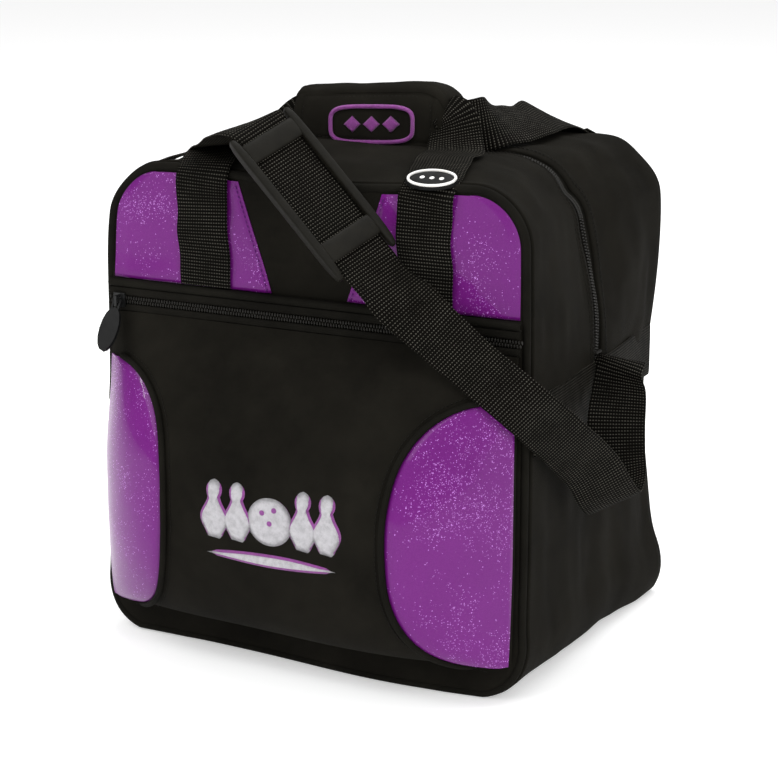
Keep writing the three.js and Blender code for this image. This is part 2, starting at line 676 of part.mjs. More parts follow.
// ---------------------------------------------------------------- assembly
makeShell();
makePiping();
makeArchedZip();
makeZipEnd("zip_end_left", -1);
makeZipEnd("zip_end_right", 1);
makeSlider("main_zip", MAIN_SLIDER, MAIN_ZIP_DEPTH, [1.4, 6], -Math.PI / 2, 0);
makeVinyl("vinyl_panel_left", -1);
makeVinyl("vinyl_panel_right", 1);
makePocketZip();
makePocket();
makeInset("left", -1);
makeInset("right", 1);
makePocketEmblem();
makeSlider("pocket_zip", POCKET_SLIDER, POCKET_ZIP_DEPTH, [6, 1.4], 0, PULL_LEAN);
makeInside();
makeHandleLoop("front_handle_loop", -1, FRONT_BAR_Y);
makeHandleLoop("rear_handle_loop", 1, REAR_BAR_Y);
makeBadge();
makeWrap();
makeSideBand("side_band_left", -1);
makeSideBand("side_band_right", 1);
makeStrap();
makeSlide();

export default bag;
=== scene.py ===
"""A one-ball bowling bag. Its soft surfaces, webbing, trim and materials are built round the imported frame."""

import math

import bpy
import numpy as np
from mathutils import Matrix, Vector, noise


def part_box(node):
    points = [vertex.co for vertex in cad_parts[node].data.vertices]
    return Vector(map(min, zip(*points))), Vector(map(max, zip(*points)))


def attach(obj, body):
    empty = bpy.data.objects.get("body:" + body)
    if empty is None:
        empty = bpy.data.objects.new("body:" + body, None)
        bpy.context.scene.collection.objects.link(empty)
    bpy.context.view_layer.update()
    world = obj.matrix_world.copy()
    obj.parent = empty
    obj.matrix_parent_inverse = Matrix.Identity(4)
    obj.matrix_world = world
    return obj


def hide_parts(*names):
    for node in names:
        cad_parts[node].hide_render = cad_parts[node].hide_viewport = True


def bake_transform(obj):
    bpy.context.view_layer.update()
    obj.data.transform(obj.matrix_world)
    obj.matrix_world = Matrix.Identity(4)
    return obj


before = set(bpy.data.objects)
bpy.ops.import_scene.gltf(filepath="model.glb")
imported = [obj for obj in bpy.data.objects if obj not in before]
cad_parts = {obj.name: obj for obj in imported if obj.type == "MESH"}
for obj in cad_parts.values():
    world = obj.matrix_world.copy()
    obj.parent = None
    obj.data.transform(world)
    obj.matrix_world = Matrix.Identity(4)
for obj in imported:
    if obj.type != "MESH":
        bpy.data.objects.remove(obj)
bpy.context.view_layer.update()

MM = 0.001

# ---------------------------------------------------------------- sizes from the frame
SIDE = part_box("gusset_lower")[1].x
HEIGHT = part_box("gusset_rear_half")[1].z
SEAM_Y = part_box("gusset_lower")[1].y
FRONT_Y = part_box("front_panel_lower")[0].y
REAR_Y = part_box("rear_panel")[1].y
FOLD_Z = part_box("front_panel_upper")[0].z
ZIP_END_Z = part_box("zip_end_left")[0].z
PIPING_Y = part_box("rear_piping")[1].y - 3.2 * MM
BAND_LOW, BAND_HIGH = (corner.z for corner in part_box("side_band_left"))
POCKET_LOW, POCKET_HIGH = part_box("pocket_panel")
WRAP_LOW, WRAP_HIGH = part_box("grip_wrap_front")
FLAP_LOW, FLAP_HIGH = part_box("grip_flap")

CORNER = 42 * MM
PIPING_RADIUS = 2.9 * MM
PIPING_INSET = 3.5 * MM
PANEL_INSET = 7 * MM
WALL = 3 * MM
WEBBING_WIDTH = 40 * MM
WEBBING_THICK = 2 * MM
ZIP_HALF = 8.7 * MM
COIL_PITCH = 2.1 * MM


# ---------------------------------------------------------------- small tools
def smooth_step(low, high, value):
    t = np.clip((value - low) / (high - low), 0, 1)
    return t * t * (3 - 2 * t)


def bell(value, centre, width):
    return np.exp(-(((value - centre) / width) ** 2))


def lerp(a, b, t):
    return a + (b - a) * t


def unit(vectors):
    return vectors / np.maximum(np.linalg.norm(vectors, axis=-1, keepdims=True), 1e-12)


def crowded(count):
    """Shares from 0 to 1, close together at both ends."""
    return 0.5 - 0.5 * np.cos(np.linspace(0, math.pi, count))


def squared_wave(values, power):
    """Sines or cosines pushed towards -1 and 1, which squares up the circle they draw."""
    return np.sign(values) * np.abs(values) ** power


def arc_lengths(points):
    """How far along a line each of its points lies."""
    return np.concatenate([[0], np.cumsum(np.linalg.norm(np.diff(points, axis=0), axis=1))])


def on_plane(x, z, y=0.0):
    """Points from their x and z, all at one y or each at its own."""
    return np.stack(np.broadcast_arrays(x, y, z), axis=-1)


def pairs(a, b):
    """Two coordinates for each point, as one array."""
    return np.stack([a, b], axis=-1)


def wander(points, scale, seed):
    """Smooth noise from about -1 to 1 at each point; scale is its grain in metres, for each axis."""
    shape = points.shape[:-1]
    flat = (points / np.array(scale)).reshape(-1, 3) + seed * 17.3
    return np.array([noise.noise(Vector(p)) for p in flat]).reshape(shape)


def grid_faces(rows, columns, wrap_rows=False, wrap_columns=False):
    row_ends = rows if wrap_rows else rows - 1
    column_ends = columns if wrap_columns else columns - 1
    faces = []
    for i in range(row_ends):
        for j in range(column_ends):
            a, b = i * columns, ((i + 1) % rows) * columns
            k = (j + 1) % columns
            faces.append((a + j, b + j, b + k, a + k))
    return faces


def capped_faces(rows, columns, flip=False):
    """The faces of a tube of closed rings, with both ends closed; flip turns the two ends round."""
    first = tuple(range(columns))
    last = tuple((rows - 1) * columns + k for k in range(columns))
    ends = [first[::-1], last] if flip else [first, last[::-1]]
    return grid_faces(rows, columns, wrap_columns=True) + ends


def stand(points):
    """How the front of the bag stands: its right foot forward, its left foot back and its left edge out."""
    x, y, z = np.asarray(points, float).reshape(-1, 3).T
    share = smooth_step(0.110, 0.0, z) * smooth_step(-0.030, -0.125, y)
    forward = 12 * MM * bell(x, 0.065, 0.090) - 1.5 * MM * smooth_step(-0.05, -0.15, x)
    raised = 0.5 * MM * smooth_step(0.0, -0.13, x)
    spread = 5.5 * MM * smooth_step(-0.10, -0.16, x) * smooth_step(0.20, 0.13, z)
    spread = spread * smooth_step(-0.05, -0.12, y)
    return np.stack([x - spread, y - forward * share, z + raised * share], axis=-1)


def new_piece(name, points, faces, material, slot, uvs=None):
    mesh = bpy.data.meshes.new(name)
    mesh.from_pydata(stand(points).tolist(), [], faces)
    mesh.polygons.foreach_set("use_smooth", [True] * len(mesh.polygons))
    if uvs is not None:
        layer = mesh.uv_layers.new(name="cloth")
        corners = np.zeros(len(mesh.loops), int)
        mesh.loops.foreach_get("vertex_index", corners)
        layer.data.foreach_set("uv", np.asarray(uvs, float).reshape(-1, 2)[corners].ravel())
    mesh.materials.append(material)
    mesh.update()
    piece = bpy.data.objects.new(name, mesh)
    bpy.context.scene.collection.objects.link(piece)
    return piece


def sheet(name, points, material, slot, thickness, uvs):
    """A cloth sheet through a grid of points, given its thickness, half to each side, by a modifier."""
    piece = new_piece(name, points, grid_faces(*points.shape[:2]), material, slot, uvs)
    solidify = piece.modifiers.new("thickness", "SOLIDIFY")
    solidify.thickness = thickness
    solidify.offset = 0
    return piece


def catmull_rom(knots, samples):
    """Points evenly spread along a smooth curve through knots, which may have any number of columns."""
    knots = np.asarray(knots, float)
    ends = np.vstack([2 * knots[0] - knots[1], knots, 2 * knots[-1] - knots[-2]])
    spans = np.sqrt(np.linalg.norm(np.diff(ends[:, :3], axis=0), axis=1))
    stops = np.concatenate([[0], np.cumsum(spans)])
    dense = []
    for i in range(1, len(ends) - 2):
        t0, t1, t2, t3 = stops[i - 1 : i + 3]
        t = np.linspace(t1, t2, 24, endpoint=False)[:, None]
        a1 = (t1 - t) / (t1 - t0) * ends[i - 1] + (t - t0) / (t1 - t0) * ends[i]
        a2 = (t2 - t) / (t2 - t1) * ends[i] + (t - t1) / (t2 - t1) * ends[i + 1]
        a3 = (t3 - t) / (t3 - t2) * ends[i + 1] + (t - t2) / (t3 - t2) * ends[i + 2]
        b1 = (t2 - t) / (t2 - t0) * a1 + (t - t0) / (t2 - t0) * a2
        b2 = (t3 - t) / (t3 - t1) * a2 + (t - t1) / (t3 - t1) * a3
        dense.append((t2 - t) / (t2 - t1) * b1 + (t - t1) / (t2 - t1) * b2)
    dense = np.vstack([*dense, knots[-1:]])
    return resample(dense, samples)


def resample(points, samples):
    """Evenly spread points along a line; columns past the third are carried along."""
    lengths = arc_lengths(points[:, :3])
    wanted = np.linspace(0, lengths[-1], samples)
    return np.stack([np.interp(wanted, lengths, column) for column in points.T], axis=1)


def tube(name, centre, material, slot, radius, closed=False, sides=12, side_hint=(0, 1, 0)):
    """A round bead along a centre line. A closed one joins its end to its start."""
    centre = np.asarray(centre, float)
    after = np.roll(centre, -1, axis=0)
    before = np.roll(centre, 1, axis=0)
    if not closed:
        after[-1], before[0] = centre[-1], centre[0]
    tangent = unit(after - before)
    hint = np.array(side_hint, float)
    across = unit(hint - (tangent @ hint)[:, None] * tangent)
    up = np.cross(tangent, across)
    angles = np.linspace(0, 2 * math.pi, sides, endpoint=False)
    ring = across[:, None] * np.cos(angles)[None, :, None] + up[:, None] * np.sin(angles)[None, :, None]
    points = centre[:, None] + ring * radius
    faces = grid_faces(len(centre), sides, True, True) if closed else capped_faces(len(centre), sides)
    uvs = pairs(*np.meshgrid(arc_lengths(centre), angles * radius, indexing="ij"))
    return new_piece(name, points, faces, material, slot, uvs)


def ribbon(name, stations, material, slot, wave=0.0, sway=0.0, aslant=False, step=2.5 * MM):
    """A flat webbing through stations of (centre, direction across); its section has rounded edges.

    The length of the direction across sets how much of the webbing's full width is open there.
    It is squared up to the webbing's run, unless the webbing folds aslant.
    """
    rows = [[*centre, *unit(np.array(across, float)), np.linalg.norm(across)] for centre, across in stations]
    count = int(line_length(np.array(rows)[:, :3]) / step)
    path = catmull_rom(rows, count)
    centre, opened = path[:, :3], path[:, 6:]
    tangent = unit(np.gradient(centre, axis=0))
    across = path[:, 3:6]
    if not aslant:
        across = across - (across * tangent).sum(1, keepdims=True) * tangent
    across = unit(across) * opened
    normal = unit(np.cross(tangent, across))
    lengths = arc_lengths(centre)
    angles = np.linspace(0, 2 * math.pi, 28, endpoint=False)
    flat = squared_wave(np.cos(angles), 0.45) * WEBBING_WIDTH / 2
    lift = squared_wave(np.sin(angles), 0.55) * WEBBING_THICK / 2
    turns = 2 * math.pi * lengths
    edge_wave = wave * np.sin(turns / (47 * MM)) + 0.6 * wave * np.sin(lengths * 211 + 1)
    offset = edge_wave[:, None] * np.sign(flat)[None, :] * (np.abs(flat)[None, :] / (WEBBING_WIDTH / 2)) ** 2
    drift = sway * (np.sin(turns / (68 * MM)) + 0.5 * np.sin(turns / (31 * MM) + 2))
    points = centre[:, None] + across[:, None] * (flat[None, :, None] + drift[:, None, None])
    points = points + normal[:, None] * (lift[None, :, None] + offset[..., None])
    faces = capped_faces(len(centre), len(angles), flip=True)
    uvs = pairs(*np.broadcast_arrays(lengths[:, None], flat[None, :]))
    return new_piece(name, points, faces, material, slot, uvs)


def join_shells(name, shells, material, slot):
    """One piece from many small closed shells of (points, faces)."""
    points, faces = [], []
    for shell_points, shell_faces in shells:
        start = len(points)
        points.extend(shell_points)
        faces.extend(tuple(start + i for i in face) for face in shell_faces)
    return new_piece(name, points, faces, material, slot)


def stitch_shell(start, end, up, radius):
    """A short thread from start to end, arched a little along up, with a six-sided section."""
    start, end, up = np.array(start), np.array(end), np.array(up)
    along = unit(end - start)
    side = unit(np.cross(along, up))
    points = []
    for t, size in ((0, 0.35), (0.2, 1), (0.8, 1), (1, 0.35)):
        centre = lerp(start, end, t) + up * radius * (0.9 if 0 < t < 1 else -0.3)
        for k in range(6):
            angle = k * math.pi / 3
            points.append(centre + radius * size * (side * math.cos(angle) + up * math.sin(angle)))
    return points, capped_faces(4, 6)


def stitches(name, lines, material, slot, pitch=3.2 * MM, length=2.3 * MM, radius=0.28 * MM):
    """Rows of stitches; each line is (points along it, surface normals there)."""
    shells = []
    for points, normals in lines:
        path = resample(np.hstack([points, normals]), max(4, int(line_length(points) / pitch)))
        for a, b in zip(path[:-1], path[1:]):
            direction = unit(b[:3] - a[:3])
            shells.append(stitch_shell(a[:3], a[:3] + direction * length, unit(a[3:]), radius))
    return join_shells(name, shells, material, slot)


def facing_front(line):
    """A line of stitching with its surface normals, where the surface faces the front."""
    return line, np.tile([0.0, -1.0, 0.0], (len(line), 1))


def line_length(points):
    return np.linalg.norm(np.diff(points, axis=0), axis=1).sum()


# ---------------------------------------------------------------- materials
class Nodes:
    """Short names for building a node material."""

    def __init__(self, name):
        self.material = bpy.data.materials.new(name)
        self.material.use_nodes = True
        self.tree = self.material.node_tree
        self.shader = self.tree.nodes["Principled BSDF"]

    def add(self, kind, **settings):
        node = self.tree.nodes.new("ShaderNode" + kind)
        for key, value in settings.items():
            if key in node.inputs:
                node.inputs[key].default_value = value
            else:
                setattr(node, key, value)
        return node

    def link(self, source, target):
        self.tree.links.new(source, target)

    def math(self, operation, a, b=None, c=None):
        node = self.add("Math", operation=operation)
        for socket, value in zip(node.inputs, (a, b, c)):
            if value is None:
                continue
            if isinstance(value, (int, float)):
                socket.default_value = value
            else:
                self.link(value, socket)
        return node.outputs[0]

    def place(self, kind="Object"):
        return self.add("TexCoord").outputs[kind]

    def noise(self, scale, detail=4, roughness=0.6, place=None):
        node = self.add("TexNoise", Scale=scale, Detail=detail, Roughness=roughness)
        self.link(place or self.place(), node.inputs["Vector"])
        return node.outputs["Fac"]

    def ramp(self, value, stops):
        node = self.add("ValToRGB")
        ramp = node.color_ramp
        while len(ramp.elements) < len(stops):
            ramp.elements.new(0.5)
        for element, (position, colour) in zip(ramp.elements, stops):
            element.position = position
            element.color = (*colour, 1)
        self.link(value, node.inputs["Fac"])
        return node.outputs["Color"]

    def mix(self, factor, a, b):
        node = self.add("Mix", data_type="RGBA")
        for socket, value in ((node.inputs[0], factor), (node.inputs[6], a), (node.inputs[7], b)):
            if isinstance(value, (int, float)):
                socket.default_value = value
            elif isinstance(value, tuple):
                socket.default_value = (*value, 1)
            else:
                self.link(value, socket)
        return node.outputs[2]

    def bump(self, height, distance, strength=1.0, socket="Normal"):
        node = self.add("Bump", Strength=strength, Distance=distance)
        self.link(height, node.inputs["Height"])
        self.link(node.outputs["Normal"], self.shader.inputs[socket])
        return node

    def colour(self, socket):
        self.link(socket, self.shader.inputs["Base Color"])

    def set(self, **values):
        for key, value in values.items():
            self.shader.inputs[key.replace("_", " ")].default_value = value


def uv_axes(m):
    """Sockets for the distances along and across a piece of cloth."""
    separate = m.add("SeparateXYZ")
    m.link(m.place("UV"), separate.inputs[0])
    return separate.outputs[0], separate.outputs[1]


def wave(m, value, period):
    """A socket that runs smoothly from -1 to 1 and back once for each period."""
    return m.math("COSINE", m.math("MULTIPLY", value, 2 * math.pi / period))


def cloth_material(name, colour, weave=0.9 * MM, depth=0.12 * MM):
    m = Nodes(name)
    u, v = uv_axes(m)
    weave_height = m.math("MULTIPLY", wave(m, u, weave), wave(m, v, weave * 0.82))
    slub = m.noise(900, 2)
    height = m.math("ADD", m.math("MULTIPLY", weave_height, 0.5), m.math("MULTIPLY", slub, 0.7))
    dark = tuple(c * 0.62 for c in colour)
    light = tuple(c * 1.5 for c in colour)
    patches = m.ramp(m.noise(14, 6, 0.7), [(0.3, dark), (0.72, light)])
    threads = m.math("MULTIPLY_ADD", weave_height, 0.22, 1.0)
    tinted = m.add("Mix", data_type="RGBA", blend_type="MULTIPLY")
    tinted.inputs[0].default_value = 1.0
    m.link(patches, tinted.inputs[6])
    m.link(threads, tinted.inputs[7])
    m.colour(tinted.outputs[2])
    m.set(Roughness=0.85, Specular_IOR_Level=0.04)
    m.bump(height, depth)
    return m.material


def webbing_material():
    m = Nodes("ribbed_webbing")
    along, across = uv_axes(m)
    rib = wave(m, along, 2.3 * MM)
    dots = wave(m, across, 2.0 * MM)
    bead = m.math("MULTIPLY", m.math("MAXIMUM", rib, 0), m.math("MULTIPLY_ADD", dots, 0.5, 0.5))
    height = m.math("ADD", m.math("MULTIPLY", rib, 0.5), m.math("MULTIPLY", bead, 0.9))
    fuzz = m.noise(1500, 2)
    lit = m.math("MULTIPLY", bead, m.math("MULTIPLY", m.noise(60, 5, 0.8), 1.9))
    colour = m.ramp(lit, [(0.25, (0.0026, 0.0023, 0.0016)), (0.9, (0.092, 0.086, 0.072))])
    m.colour(colour)
    m.set(Roughness=0.7, Specular_IOR_Level=0.03)
    m.bump(m.math("ADD", height, m.math("MULTIPLY", fuzz, 0.3)), 0.45 * MM)
    return m.material


def vinyl_material():
    """Clear film over purple glitter; the flakes catch the light only in some patches."""
    m = Nodes("glitter_vinyl")
    place = m.place()
    flakes = m.add("TexVoronoi", Scale=1900)
    m.link(place, flakes.inputs["Vector"])
    split = m.add("SeparateColor")
    m.link(flakes.outputs["Color"], split.inputs[0])
    lit_patch = m.ramp(m.noise(17, 4, 0.65, place), [(0.47, (0, 0, 0)), (0.66, (1, 1, 1))])
    chance = m.math("ADD", split.outputs[0], m.math("MULTIPLY", lit_patch, 0.13))
    spark = m.math("GREATER_THAN", chance, 0.992)
    deep = (0.095, 0.002, 0.115)
    film = m.mix(m.noise(9, 3, 0.6, place), deep, (0.160, 0.009, 0.190))
    grain = m.mix(m.math("MULTIPLY", split.outputs[1], 0.2), film, (0.22, 0.03, 0.27))
    colour = m.mix(m.math("MULTIPLY", spark, split.outputs[2]), grain, (0.62, 0.26, 0.78))
    m.colour(colour)
    m.bump(split.outputs[2], 0.10 * MM, 0.3)
    m.set(Roughness=0.4, Specular_IOR_Level=0.1, Coat_Weight=0.42, Coat_Roughness=0.04, Coat_IOR=1.4)
    m.bump(m.noise(26, 2, 0.5, place), 0.6 * MM, 0.5, "Coat Normal")
    return m.material


def moulded_material(name, colour, roughness, grain=0.05 * MM):
    m = Nodes(name)
    worn = tuple(min(1, c * 1.7) for c in colour)
    m.colour(m.ramp(m.noise(70, 5, 0.7), [(0.35, colour), (0.75, worn)]))
    rough = m.add("MapRange")
    m.link(m.noise(240, 4), rough.inputs["Value"])
    rough.inputs["To Min"].default_value = roughness - 0.08
    rough.inputs["To Max"].default_value = roughness + 0.12
    m.link(rough.outputs["Result"], m.shader.inputs["Roughness"])
    m.set(Specular_IOR_Level=0.1)
    m.bump(m.noise(2600, 3), grain, 0.6)
    return m.material


def thread_material(name, colour, angle):
    m = Nodes(name)
    turned = m.add("Mapping")
    turned.inputs["Rotation"].default_value = (0, angle, 0)
    m.link(m.place(), turned.inputs["Vector"])
    separate = m.add("SeparateXYZ")
    m.link(turned.outputs[0], separate.inputs[0])
    strands = wave(m, separate.outputs[0], 0.55 * MM)
    shade = m.math("ADD", m.math("MULTIPLY", strands, 0.18), m.noise(260, 3))
    dark = tuple(c * 0.6 for c in colour)
    m.colour(m.ramp(shade, [(0.3, dark), (0.62, colour)]))
    m.set(Roughness=0.42, Sheen_Weight=0.3)
    m.bump(strands, 0.25 * MM)
    return m.material


def coil_material():
    m = Nodes("zip_coil")
    m.set(Base_Color=(0.011, 0.010, 0.008, 1), Roughness=0.38, Specular_IOR_Level=0.2)
    m.bump(m.noise(1800, 2), 0.03 * MM)
    return m.material


def metal_material():
    m = Nodes("black_enamel")
    m.colour(m.ramp(m.noise(120, 4), [(0.3, (0.012, 0.012, 0.012)), (0.8, (0.03, 0.03, 0.03))]))
    m.set(Roughness=0.28, Metallic=0.7)
    m.bump(m.noise(900, 2), 0.02 * MM)
    return m.material


def plain_material(name, colour, roughness):
    m = Nodes(name)
    darker = tuple(c * 0.7 for c in colour)
    m.colour(m.ramp(m.noise(300, 5), [(0.35, darker), (0.7, colour)]))
    m.set(Roughness=roughness, Specular_IOR_Level=0.1)
    m.bump(m.noise(1100, 4), 0.25 * MM)
    return m.material


BLACK = (0.0082, 0.0074, 0.0056)
CLOTH = cloth_material("woven_polyester", BLACK)
TRIM = cloth_material("piping_cloth", (0.0078, 0.0072, 0.0056), 0.7 * MM, 0.1 * MM)
TAPE = cloth_material("zip_tape_cloth", (0.0072, 0.0066, 0.0052), 0.6 * MM, 0.1 * MM)
WEBBING = webbing_material()
VINYL = vinyl_material()
SLIDE_PLASTIC = moulded_material("slide_plastic", (0.0060, 0.0054, 0.0038), 0.5)
RUBBER = moulded_material("soft_black_plastic", (0.006, 0.006, 0.006), 0.5)
WHITE_MOULDED = moulded_material("white_moulding", (0.78, 0.76, 0.72), 0.4)
COIL = coil_material()
ENAMEL = metal_material()
WHITE_THREAD = thread_material("white_thread", (0.80, 0.78, 0.82), 0.5)
PURPLE_THREAD = thread_material("purple_thread", (0.40, 0.035, 0.42), -0.5)
BLACK_THREAD = plain_material("black_thread", (0.012, 0.011, 0.009), 0.7)
PURPLE_STITCH = plain_material("purple_stitch_thread", (0.10, 0.02, 0.15), 0.5)
FOAM = plain_material("closed_cell_foam", (0.035, 0.035, 0.038), 0.95)
BOARD = moulded_material("stiffening_board", (0.02, 0.02, 0.02), 0.6)


# ---------------------------------------------------------------- the bag's own outline and softness
def outline_path():
    """Points round the bag from the middle of its base, anticlockwise from the front, and their normals."""
    x, low, high = SIDE - CORNER, CORNER, HEIGHT - CORNER
    corners = [(x, low, -90), (x, high, 0), (-x, high, 90), (-x, low, 180)]
    points, normals = [(0, 0)], [(0, -1)]
    for centre_x, centre_z, start in corners:
        for angle in np.radians(np.linspace(start, start + 90, 24)):
            normal = (math.cos(angle), math.sin(angle))
            points.append((centre_x + CORNER * normal[0], centre_z + CORNER * normal[1]))
            normals.append(normal)
    points.append((0, 0))
    normals.append((0, -1))
    return np.array(points), np.array(normals)


OUTLINE, OUTLINE_NORMALS = outline_path()
OUTLINE_AT = arc_lengths(OUTLINE)
GIRTH = OUTLINE_AT[-1]


def on_outline(distance):
    x, z = (np.interp(distance, OUTLINE_AT, OUTLINE[:, k]) for k in (0, 1))
    nx, nz = (np.interp(distance, OUTLINE_AT, OUTLINE_NORMALS[:, k]) for k in (0, 1))
    length = np.hypot(nx, nz)
    return x, z, nx / length, nz / length


def side_distance(z):
    """How far round the outline the right side's point at height z is."""
    return SIDE - CORNER + CORNER * math.pi / 2 + (z - CORNER)


def mirrored(distance, sign):
    """The same place on the right side of the outline for sign 1, or on its left side for -1."""
    return distance if sign > 0 else GIRTH - distance


def top_sag(x):
    """How far the top edges of the front and rear hang down between the two corners."""
    return 7.5 * MM * np.clip(np.cos(math.pi * x / (2 * (SIDE - 30 * MM))), 0, 1) ** 1.5


LOW_CORNER = SIDE - CORNER + CORNER * math.pi / 4
HIGH_CORNER = side_distance(HEIGHT - CORNER) + CORNER * math.pi / 4


def slump(distance, y):
    """How the bag has settled: its outline pulls in at the top corners and waist and spreads at its foot."""
    right = distance < GIRTH / 2
    reach = np.where(right, distance, GIRTH - distance)
    height = CORNER + reach - (SIDE - CORNER + CORNER * math.pi / 2)
    middle = bell(y, -0.005, 0.075)
    rear = smooth_step(0.01, 0.12, y)
    front = smooth_step(-0.03, -0.12, y)
    from_corner = reach - HIGH_CORNER
    broad = np.exp(-((from_corner / np.where(from_corner < 0, 0.072, 0.034)) ** 2))
    tight = bell(from_corner, 0.002, 0.027)
    waist = bell(height, 0.155, 0.080)
    foot = bell(reach, LOW_CORNER - 0.002, 0.030)
    right_side = -19 * middle * broad - 6 * rear * tight - (11 * rear + 3 * middle) * waist
    right_side = right_side + foot * (17 * rear + 9 * middle + 3 * front)
    left_side = -6.5 * front * bell(from_corner, 0.0, 0.038) - (11 * rear + 7 * middle) * tight
    left_side = left_side - 7 * rear * waist + foot * (13 * rear + 8 * middle + 5 * front)
    x, _, _, nz = on_outline(distance)
    left_top = -6.5 * bell(x, -0.125, 0.045) * smooth_step(-0.122, -0.09, y) * np.clip(nz, 0, 1) ** 2
    return MM * (np.where(right, right_side, left_side) + left_top)


def puff(x, y, z, nx, nz):
    """How far the soft shell stands out from the plain outline, along the outline's normal."""
    edge = smooth_step(1.0, 0.78, np.abs(y) / SEAM_Y)
    top = np.clip(nz, 0, 1) ** 2
    side = nx**2
    middle = np.cos(np.clip(x / (SIDE - 20 * MM), -1, 1) * math.pi / 2)
    dome = 7.5 * bell(y, -0.055, 0.030) + 2.5 * bell(y, 0.055, 0.04) - 1.5 * bell(y, 0, 0.012)
    top_part = top * (dome * MM * edge * (0.35 + 0.65 * middle) - top_sag(x) * (1 - edge))
    between = bell(np.abs(y), 0.062, 0.034)
    swell = 3.5 * bell(z, 0.275, 0.060) + 2.5 * bell(z, 0.070, 0.045)
    side_part = side * edge * MM * swell * between
    return top_part + side_part


def hem(y, z):
    """The folded edge beside the arched zip: a low welt, with the cloth dipping to the zip inside it."""
    reach = np.abs(y) - ZIP_HALF
    up = smooth_step(ZIP_END_Z - 0.004, ZIP_END_Z + 0.006, z)
    return MM * up * (0.9 * bell(reach, 0.0035, 0.003) - 0.5 * bell(reach, 0.0075, 0.0012))


def shell(distance, y, lift=0.0, wrinkle=1.0):
    """Points of the soft gusset; lift moves them out along the outline's normal."""
    distance, y = np.broadcast_arrays(np.asarray(distance, float), np.asarray(y, float))
    x, z, nx, nz = on_outline(distance % GIRTH)
    plain = on_plane(x, z, y)
    free = smooth_step(1.0, 0.86, np.abs(y) / SEAM_Y) * (1 - np.clip(-nz, 0, 1))
    creases = 2.3 * wander(plain, (0.050, 0.030, 0.075), 1) + 1.1 * wander(plain, (0.022, 0.016, 0.030), 2)
    settled = slump(distance % GIRTH, y)
    out = settled + puff(x, y, z, nx, nz) + hem(y, z) + wrinkle * MM * creases * free + lift
    points = plain.copy()
    points[..., 0] += nx * out
    points[..., 2] = np.maximum(points[..., 2] + nz * out, 0.4 * MM + 0.5 * WALL * (lift < 0))
    return points


def gusset_grid(distances, depths):
    along, across = np.meshgrid(distances, depths, indexing="ij")
    return shell(along, across, -WALL / 2), pairs(along, across)


def make_gusset():
    split = side_distance(ZIP_END_Z - 8 * MM)
    seam = SEAM_Y + 0.2 * MM
    depths = np.linspace(-seam, seam, 81)
    under = np.linspace(-split, split, 190)
    points, uvs = gusset_grid(under, depths)
    lower = sheet("gusset_lower_cloth", points, CLOTH, "body_fabric", WALL, uvs)
    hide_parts("gusset_lower")
    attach(lower, "bag_body")

    over = np.linspace(split, GIRTH - split, 230)
    rear_depths = np.linspace(ZIP_HALF - 1.2 * MM, seam, 44)
    halves = []
    for half, depths in (("rear", rear_depths), ("front", -rear_depths[::-1])):
        points, uvs = gusset_grid(over, depths)
        piece = sheet(f"gusset_{half}_cloth", points, CLOTH, "body_fabric", WALL, uvs)
        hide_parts(f"gusset_{half}_half")
        halves.append(piece)
    rear, front = halves
    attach(rear, "bag_body")
    blend_at_mouth(front)

    rows = (ZIP_HALF + 7.2 * MM, ZIP_HALF + 4 * MM)
    seams = []
    for half, sign in (("front", -1), ("rear", 1)):
        lines = [line_on_shell(over, sign * y, 0.25 * MM) for y in rows]
        seams.append(stitches(f"zip_stitches_{half}", lines, BLACK_THREAD, "body_fabric"))
    seam_front, seam_rear = seams
    blend_at_mouth(seam_front)
    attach(seam_rear, "bag_body")


def line_on_shell(distances, y, lift):
    """A line of stitching round the gusset, with its surface normals."""
    points = shell(distances, y, lift)
    _, _, nx, nz = on_outline(distances % GIRTH)
    return points, on_plane(nx, nz)


def blend_at_mouth(piece):
    """Bakes a piece's placement into its points; it is not bent across the fold between the standing bag and
    its opening front half.
    """
    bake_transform(piece)


# ---------------------------------------------------------------- panels and piping
def panel_outline_x(z, inset):
    """Half the width of the rounded outline, less inset, at height z."""
    radius = CORNER - inset
    nearest = np.clip(z, CORNER, HEIGHT - CORNER)
    drop = np.clip(np.abs(z - nearest), 0, radius)
    return SIDE - CORNER + np.sqrt(np.maximum(radius**2 - drop**2, 0))


CENTRE_Z = HEIGHT / 2
OUTLINE_ANGLE = np.unwrap(np.arctan2(OUTLINE[:, 1] - CENTRE_Z, OUTLINE[:, 0]))


def settle(x, y, z, outline_y):
    """Points of a front or rear panel, moved as the settled outline round them has moved."""
    angle = np.arctan2(z - CENTRE_Z, x)
    angle = np.where(angle < -math.pi / 2, angle + 2 * math.pi, angle)
    distance = np.interp(angle, OUTLINE_ANGLE, OUTLINE_AT)
    edge_x, edge_z, nx, nz = on_outline(distance)
    reach = np.hypot(x, z - CENTRE_Z) / np.hypot(edge_x, edge_z - CENTRE_Z)
    move = slump(distance, np.full_like(distance, outline_y)) * np.clip(reach, 0, 1.02) ** 6
    return on_plane(x + nx * move, np.maximum(z + nz * move, 2 * MM), y)


def panel_grid(inset, z_low, z_high, rows, columns):
    """A grid over the rounded panel, its lines crowded to the top and bottom where the corners are."""
    heights = lerp(z_low, z_high, crowded(rows))
    z, share = np.meshgrid(heights, np.linspace(-1, 1, columns), indexing="ij")
    x = share * panel_outline_x(z, inset)
    sag = top_sag(x) * smooth_step(FOLD_Z, HEIGHT, z)
    return x, z - sag


